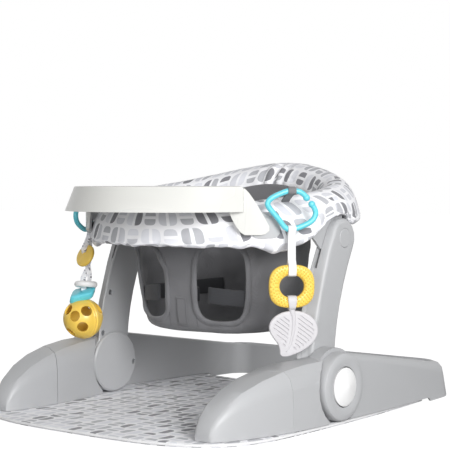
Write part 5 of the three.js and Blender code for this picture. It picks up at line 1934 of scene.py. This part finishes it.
    def nubs(self) -> None:
        """Builds the nubs on both faces of the teething ring."""
        n = self.nub_sides
        points, faces = [], []
        for number, k in enumerate(self.nub_rows):
            reach = [mix(self.hole[j], self.outer[j], k) for j in (0, 1)]
            form = mix(1.0, 2 / self.squareness, k)
            count = int(math.pi * (reach[0] + reach[1]) * self.square_length / self.nub_pitch)
            slope = math.acos(min(abs(2 * k - 1) ** (1 / self.forms[0]), 1.0))
            face = self.half * power(math.sin(slope), self.forms[1])
            for i in range(count):
                a = 2 * math.pi * (i + 0.5 * (number % 2)) / count
                x, z = reach[0] * power(math.cos(a), form), reach[1] * power(math.sin(a), form)
                for way in (-1, 1):
                    start = len(points)
                    points += self.nub_points(x, z, way * face)
                    for low in (start, start + n):
                        for j in range(n):
                            k1 = (j + 1) % n
                            faces.append((low + j, low + k1, low + n + k1, low + n + j))
                    last = start + 2 * n
                    faces += [(last + j, last + (j + 1) % n, last + n) for j in range(n)]
                    faces.append(tuple(start + j for j in reversed(range(n))))
        nubs = face_out(new_object("teething_nubs", to_row(np.array(points)), faces))
        settle(nubs, "toy_right", "yellow_plastic", YELLOW_PLASTIC)

    def outline(self, inset: float) -> list[Spot]:
        """Moves the leaf's edge inwards.

        Args:
            inset: how far.

        Returns:
            Points round the leaf.
        """
        line = [(p.x, p.y) for p in smooth_line(self.leaf_line, 6, True)]
        moved = []
        for i, (x, z) in enumerate(line):
            (x0, z0), (x1, z1) = line[i - 1], line[(i + 1) % len(line)]
            length = math.hypot(x1 - x0, z1 - z0)
            moved.append((x + inset * (z1 - z0) / length, z - inset * (x1 - x0) / length))
        return moved

    def rib_at(self, z: float) -> float:
        """Returns where the midrib crosses a height."""
        line = smooth_line(self.midrib, 6)
        return min(line, key=lambda p: abs(p.y - z)).x

    def groove(self, middle: float, side: int, edge: Sequence[Spot]) -> Optional[Spot]:
        """Finds where a groove runs on one side of the midrib.

        Args:
            middle: the height at which its line crosses the leaf's middle.
            side: 1 or -1, the side of the midrib.
            edge: the outline that it stays inside.

        Returns:
            Its start and end across, or None where it would be too short.
        """
        found = []
        for step in range(self.groove_steps):
            x = side * step * self.groove_step
            z = middle + self.groove_slope * x
            if (x - self.rib_at(z)) * side > self.groove_rib_gap and within(edge, x, z):
                found.append(x)
        return (found[0], found[-1]) if len(found) >= self.least_steps else None

    def grooves(self) -> Object:
        """Makes the tool that cuts the grooves between the leaf's ridges.

        Returns:
            One object with every groove, on both faces.
        """
        edge = self.outline(self.groove_margin)
        points, faces = [], []
        box = ((0, 1, 2, 3), (7, 6, 5, 4), (0, 4, 5, 1), (1, 5, 6, 2), (2, 6, 7, 3), (3, 7, 4, 0))
        for number in range(*self.groove_numbers):
            middle = self.groove_middle + number * self.groove_pitch
            for ends in (self.groove(middle, side, edge) for side in (-1, 1)):
                for way in (-1, 1) if ends else ():
                    start = len(points)
                    for x in ends:
                        z = middle + self.groove_slope * x
                        points += [self.place.at(x, way * d, z + rise) for rise, d in self.groove_section]
                    faces += [tuple(start + corner for corner in face) for face in box]
        return face_out(new_object("leaf_grooves", to_row(np.array(points)), faces))

    def blade(self) -> None:
        """Builds the leaf's blade with its ridges."""
        rows = []
        for inset, depth in self.leaf_layers:
            rows.append([self.place.at(x, depth, z) for x, z in self.outline(inset)])
        leaf = lattice("leaf_blade", np.array(rows), False, True, True)
        carve(leaf, self.grooves())
        settle(crisp(leaf), "leaf", "leaf_plastic", LEAF_RUBBER, "leaf_teether")

    def rib(self) -> None:
        """Builds the leaf's curved midrib, which narrows to its foot."""
        line = smooth_line(self.midrib, 6)
        last = len(line) - 1
        rows = []
        for i, p in enumerate(line):
            t = i / last
            run = (line[min(i + 1, last)] - line[max(i - 1, 0)]).normalized()
            section = superellipse(mix(*self.rib_width, t ** 0.8), mix(*self.rib_depth, t), 2.2, 16)
            rows.append([self.place.at(p.x + a * run.y, d, p.y - a * run.x) for a, d in section])
        rib = lattice("leaf_midrib", np.array(rows), False, True, True)
        settle(rib, "leaf", "leaf_plastic", LEAF_RUBBER)

    def loop(self) -> None:
        """Builds the leaf's loop round the teething ring, narrower at its foot."""
        bar = self.centre - self.bar()
        side = [(x, bar + z) for x, z in self.loop_line]
        loop = loop_band("leaf_loop", self.place, side, self.loop_width, self.loop_thickness)
        across = self.place.way(1, 0)
        above, length = self.loop_taper
        for vertex in loop.data.vertices:
            z = vertex.co.z / MM
            narrow = mix(1.0, self.loop_foot, ease(bar + above - z, 0, length))
            place = Vector((vertex.co.x / MM, vertex.co.y / MM - BODY_SHIFT, z))
            flat = place - Vector(self.place.at(0, 0, z))
            vertex.co -= across * (flat.dot(across) * (1 - narrow) * MM)
        settle(loop, "leaf", "leaf_plastic", LEAF_RUBBER)

    def build(self) -> None:
        """Builds the toy."""
        self.ribbon()
        self.ring()
        self.nubs()
        self.blade()
        self.rib()
        self.loop()


@dataclass(frozen=True)
class Strand:
    """One strand of the printed ribbon: its path, its twist in radians and the nodes it stands for."""

    word: str
    points: tuple[Point, ...]
    twist: tuple[float, ...]
    nodes: tuple[str, ...] = ()


@dataclass
class LeftToy:
    """The ribbon with the disc, the ring, the block and the rattle ball, in a plane that faces the camera."""

    place: Hung = LEFT_TOY

    # the rattle ball: its seam's groove, the ridges beside it and its round holes
    ball_centre: Point = (-3.6, 0.0, 128.5)
    ball_radius: float = 31.3
    ball_skin: float = 2.4
    ball_axis: Point = (-0.66, -0.75, -0.06)
    seam: Spot = (0.9, 0.9)
    ridge: Point = (1.0, 2.6, 1.3)
    holes: tuple[Point, ...] = (
        (-0.81, -0.58, -0.11), (-0.33, -0.92, 0.2), (-0.7, -0.51, 0.49), (-0.6, -0.44, -0.67),
        (0.26, -0.85, 0.46), (0.07, -0.93, -0.35),
    )
    mirrored_from: int = 2
    hole: float = 8.6
    hole_start: float = 0.6
    hole_edge: float = 0.5

    # the aqua block
    block_at: Spot = (-4.2, 166.5)
    block_size: Point = (38.0, 29.0, 7.0)
    block_roll: float = math.radians(-13)
    block_lean: float = math.radians(24)
    block_layers: tuple[Spot, ...] = (
        (-6.6, 2.4), (-5.6, 0.8), (-4.2, 0.0), (4.2, 0.0), (5.6, 0.8), (6.6, 2.4),
    )

    # the white ring
    ring_at: Point = (0.8, 0.0, 182.0)
    ring_axis: Point = (-0.06, 0.12, 1.0)
    ring_radius: float = 12.6
    ring_bar: Spot = (5.4, 5.0)
    ring_form: float = 0.9

    # the yellow disc and its slot
    disc_at: Point = (0.6, -4.0, 227.0)
    disc_axis: Point = (-0.64, -0.64, 0.42)
    disc_half: tuple[Spot, ...] = ((AXIS_GAP, 3.4), (14.6, 3.4), (16.8, 2.8), (18.0, 1.4))
    disc_radius: float = 18.2
    slot_at: Point = (-1.4, -5.0, 236.0)
    slot: Spot = (3.4, 9.0)

    # the printed ribbon's strands, which part at the disc and cross below it
    ribbon_width: float = 8.5
    ribbon_thickness: float = 0.9
    strands: tuple[Strand, ...] = (
        Strand("front", (
            (6.4, -1.0, 268.0), (5.6, -2.0, 258.0), (2.6, -5.0, 248.0), (-0.4, -7.5, 241.0),
            (-1.6, -5.5, 235.5), (1.5, 2.5, 226.0), (3.0, 4.0, 214.0), (5.0, 2.0, 204.0), (6.6, 0.0, 193.0),
            (4.5, 0.0, 182.0),
        ), (0.9, 0.5, 0.2, 0.3, 0.9)),
        Strand("rear", (
            (6.6, 2.0, 268.0), (7.4, 3.0, 256.0), (7.6, 4.5, 244.0), (7.4, 4.5, 232.0), (7.0, 4.0, 220.0),
            (3.6, 0.5, 209.0), (-0.5, 0.0, 199.0), (-3.5, 0.0, 191.0), (-3.0, 0.0, 182.0), (-1.4, 0.0, 157.0),
        ), (0.5, 0.9, 1.1, 0.3, 0.2), ("ribbon_left",)),
    )

    def ball(self) -> None:
        """Builds the rattle ball with its round holes and its seam."""
        r, inner = self.ball_radius, self.ball_radius - self.ball_skin
        centre = self.place.at(*self.ball_centre)
        axis = self.place.way(*self.ball_axis)
        groove, width = self.seam
        ridge, at, spread = self.ridge
        outer = []
        for k in range(61):
            a = math.pi * k / 60
            h = -math.cos(a) * r
            ridges = ridge * (bump(h, at, spread) + bump(h, -at, spread))
            outer.append((max(math.sin(a) * (r - groove * bump(h, 0, width) + ridges), AXIS_GAP), h))
        ball = turned("rattle_ball_shell", outer, centre, axis, 72)
        turns = [math.pi * k / 30 for k in range(31)]
        core = [(max(math.sin(a) * inner, AXIS_GAP), -math.cos(a) * inner) for a in turns]
        carve(ball, turned("ball_core", core, centre, axis, 48))
        ways = [self.place.way(*hole) for hole in self.holes]
        ways += [way - axis * (2 * way.dot(axis)) for way in ways[self.mirrored_from:]]
        profile = [(AXIS_GAP, 0.0), (self.hole, 0.0), (self.hole, r), (AXIS_GAP, r)]
        for way in ways:
            carve(ball, turned("hole_tool", profile, Vector(centre) + way * (r * self.hole_start), way, 28))
        soften_edges(ball, self.hole_edge)
        settle(crisp(ball), "toy_left", "yellow_plastic", YELLOW_PLASTIC, "rattle_ball")

    def block(self) -> None:
        """Builds the aqua block that lies on the ball."""
        width, height, corner = self.block_size
        c, s = math.cos(self.block_roll), math.sin(self.block_roll)
        cl, sl = math.cos(self.block_lean), math.sin(self.block_lean)
        rows = []
        for depth, inset in self.block_layers:
            row = []
            for x, y in rounded_box(width - 2 * inset, height - 2 * inset, corner - inset, 6):
                back, up = y * cl - depth * sl, y * sl + depth * cl
                z = self.block_at[1] - x * s + up * c
                row.append(self.place.at(self.block_at[0] + x * c - up * s, back, z))
            rows.append(row)
        block = lattice("aqua_block", np.array(rows), False, True, True)
        settle(crisp(block, 60), "toy_left", "teal_plastic", TEAL_PLASTIC, "block_bead")

    def beads(self) -> None:
        """Builds the white ring and the yellow disc."""
        wide, high = self.ring_bar
        torus = []
        for a in np.linspace(0, 2 * math.pi, 25)[:-1]:
            torus.append((self.ring_radius + wide * power(math.cos(a), self.ring_form),
                          high * power(math.sin(a), self.ring_form)))
        ring = turned("white_ring_bead", torus, self.place.at(*self.ring_at), self.ring_axis, 48)
        settle(ring, "toy_left", "white_bead", WHITE_PLASTIC, "ring_bead")
        edge = [(r, -h) for r, h in self.disc_half] + [(self.disc_radius, 0.0)]
        edge += reversed(self.disc_half)
        face = self.place.way(*self.disc_axis)
        disc = turned("yellow_disc", edge, self.place.at(*self.disc_at), face, 48)
        radius, length = self.slot
        profile = [(AXIS_GAP, -length), (radius, -length), (radius, length), (AXIS_GAP, length)]
        carve(disc, turned("slot_tool", profile, self.place.at(*self.slot_at), face, 20))
        settle(crisp(disc), "toy_left", "yellow_plastic", YELLOW_PLASTIC, "disc_bead")

    def ribbon(self) -> None:
        """Builds the two strands of the printed ribbon."""
        section = tape_section(self.ribbon_thickness, self.ribbon_width)
        for strand in self.strands:
            path = smooth_line([self.place.at(*p) for p in strand.points], 7)

            def up(i: int) -> Vector:
                """Returns the direction that the strand's face looks in at a point of its path."""
                twist = strand.twist
                t = i / (len(path) - 1) * (len(twist) - 1)
                k = min(int(t), len(twist) - 2)
                a = mix(twist[k], twist[k + 1], ease(t - k, 0, 1))
                return self.place.way(math.sin(a), -math.cos(a))

            made = swept(f"printed_ribbon_{strand.word}", path, section, up, False, True)
            settle(made, "toy_left", "ribbon_cloth", RIBBON_PRINT, *strand.nodes)

    def build(self) -> None:
        """Builds the toy."""
        self.ball()
        self.block()
        self.beads()
        self.ribbon()


# Rigid pieces

NODE_FINISHES: dict[str, object] = {
    "grey_plastic": GREY_PLASTIC, "white_plastic": BUTTON_PLASTIC, "black_plastic": BLACK_PLASTIC,
    "tray_plastic": TRAY_PLASTIC, "teal_plastic": TEAL_PLASTIC, "yellow_plastic": YELLOW_PLASTIC,
    "leaf_plastic": LEAF_RUBBER, "white_bead": WHITE_PLASTIC, "steel": STEEL, "mat_cloth": MAT_PRINT,
    "cover_cloth": COVER_PRINT, "seat_cloth": SEAT_CLOTH, "webbing": HARNESS_WEBBING,
    "loop_cloth": LOOP_WEBBING, "ribbon_cloth": WHITE_RIBBON,
}

EDGE_WIDTHS = {"grey_plastic": 0.7, "tray_plastic": 1.0, "yellow_plastic": 0.5, "steel": 0.25}
EDGE_WIDTH = 0.4
NODE_EDGE_ANGLE = 34.0
WELD = 0.02


def dress_nodes() -> None:
    """Gives every CAD node its finish, smooth faces and crisp edges."""
    slots = {entry["node"]: entry["material_slot"] for entry in frame["record"]["subparts"]}
    for name, node in frame["nodes"].items():
        WARDROBE.dress(node, NODE_FINISHES[slots[name]])
        node.data.polygons.foreach_set("use_smooth", [True] * len(node.data.polygons))
        for layer in ("custom_normal", "sharp_edge", "sharp_face"):
            if layer in node.data.attributes:
                node.data.attributes.remove(node.data.attributes[layer])
        weld = node.modifiers.new("joined corners", "WELD")
        weld.merge_threshold = WELD * MM
        edge = node.modifiers.new("moulded edges", "BEVEL")
        edge.limit_method = "ANGLE"
        edge.angle_limit = math.radians(NODE_EDGE_ANGLE)
        edge.width = EDGE_WIDTHS.get(slots[name], EDGE_WIDTH) * MM
        edge.segments = 2
        edge.use_clamp_overlap = True
        step = node.modifiers.new("even shading", "WEIGHTED_NORMAL")
        step.keep_sharp = True
        LOG.info("%s dressed as %s", name, slots[name])


# Studio


@dataclass
class Studio:
    """The floor, the lamps and the camera."""

    camera_at: Point = (1.30917, -1.61138, 0.33631)
    turn: float = CAMERA_TURN
    pitch: float = 0.029
    lens: float = 108.08
    aim: Point = (0.0, 0.0, 0.15)
    world: float = 0.3
    lamps: tuple[tuple[str, Point, float, float], ...] = (
        ("key_lamp", (2.5, -1.45, 1.1), 1.2, 80.0),
        ("front_lamp", (1.0, -2.6, 0.4), 1.4, 19.0),
    )
    floor_half: float = 12.0
    floor_drop: float = 0.0005
    floor_tone: float = 0.6
    floor_glow: float = 1.31
    glow_share: float = 0.75

    def camera(self) -> None:
        """Makes the camera at the photograph's angle."""
        data = bpy.data.cameras.new("camera")
        data.lens = self.lens
        data.sensor_width = 36.0
        data.clip_end = 50.0
        made = bpy.data.objects.new("camera", data)
        made.location = self.camera_at
        made.rotation_euler = (math.pi / 2 - self.pitch, 0.0, self.turn)
        bpy.context.scene.collection.objects.link(made)
        bpy.context.scene.camera = made

    def light(self) -> None:
        """Makes the lamps."""
        for name, place, size, watts in self.lamps:
            data = bpy.data.lights.new(name, "AREA")
            data.size = size
            data.energy = watts
            made = bpy.data.objects.new(name, data)
            made.location = place
            made.rotation_euler = (Vector(self.aim) - Vector(place)).to_track_quat("-Z", "Y").to_euler()
            bpy.context.scene.collection.objects.link(made)

    def background(self, tree: bpy.types.NodeTree, rays: Sequence[str]) -> Socket:
        """Adds a switch for kinds of ray.

        Args:
            tree: the nodes that it is added to.
            rays: the outputs of the light path that turn it on.

        Returns:
            A value that is one for these rays.
        """
        path = tree.nodes.new("ShaderNodeLightPath")
        total = path.outputs[rays[0]]
        for ray in rays[1:]:
            step = tree.nodes.new("ShaderNodeMath")
            step.operation = "MAXIMUM"
            tree.links.new(total, step.inputs[0])
            tree.links.new(path.outputs[ray], step.inputs[1])
            total = step.outputs[0]
        return total

    def sky(self) -> None:
        """Makes a white surround that lights the seat softly."""
        world = bpy.data.worlds.new("studio")
        world.use_nodes = True
        tree = world.node_tree
        tree.nodes.clear()
        out = tree.nodes.new("ShaderNodeOutputWorld")
        seen, light = (tree.nodes.new("ShaderNodeBackground") for _ in range(2))
        choice = tree.nodes.new("ShaderNodeMixShader")
        seen.inputs[0].default_value = grey(1.0)
        light.inputs[0].default_value = grey(1.0)
        light.inputs[1].default_value = self.world
        rays = self.background(tree, ("Is Camera Ray", "Is Glossy Ray", "Is Transmission Ray"))
        tree.links.new(rays, choice.inputs[0])
        tree.links.new(light.outputs[0], choice.inputs[1])
        tree.links.new(seen.outputs[0], choice.inputs[2])
        tree.links.new(choice.outputs[0], out.inputs[0])
        bpy.context.scene.world = world

    def floor(self) -> None:
        """Makes the pale floor, which keeps the seat's shadow."""
        half = self.floor_half
        plan = ((-half, -half), (half, -half), (half, half), (-half, half))
        corners = [(x, y, -self.floor_drop) for x, y in plan]
        made = new_object("studio_floor", np.array(corners), [(0, 1, 2, 3)])
        g = Graph("pale_floor")
        g.surface.inputs["Base Color"].default_value = grey(self.floor_tone)
        g.surface.inputs["Roughness"].default_value = 0.9
        g.surface.inputs["Specular IOR Level"].default_value = 0.1
        white = g.node("Emission", {"Color": grey(1.0), "Strength": self.floor_glow})
        seen = self.background(g.tree, ("Is Camera Ray",))
        choice = g.node("MixShader", {0: g.sum("MULTIPLY", seen, self.glow_share)})
        g.join(g.surface.outputs[0], choice.inputs[1])
        g.join(white.outputs[0], choice.inputs[2])
        g.join(choice.outputs[0], g.output.inputs["Surface"])
        made.data.materials.append(g.material)

    def build(self) -> None:
        """Builds the studio and sets how colours are shown."""
        self.camera()
        self.light()
        self.sky()
        self.floor()
        bpy.context.scene.view_settings.view_transform = "Standard"


def main() -> None:
    """Builds the seat's pieces in order and reports each one."""
    logging.basicConfig(level=logging.INFO, format="%(name)s: %(message)s")
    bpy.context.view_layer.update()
    Studio().build()
    dress_nodes()
    FloorMat().build()
    RingCover().build()
    HangingSeat().build()
    for place, side in ((RIGHT_TOY, Side.RIGHT), (LEFT_LINK, Side.LEFT)):
        ToyLink(place, side).build()
        ToyLoop(place, side).build()
    RightToy().build()
    LeftToy().build()


if __name__ == "__main__":
    main()
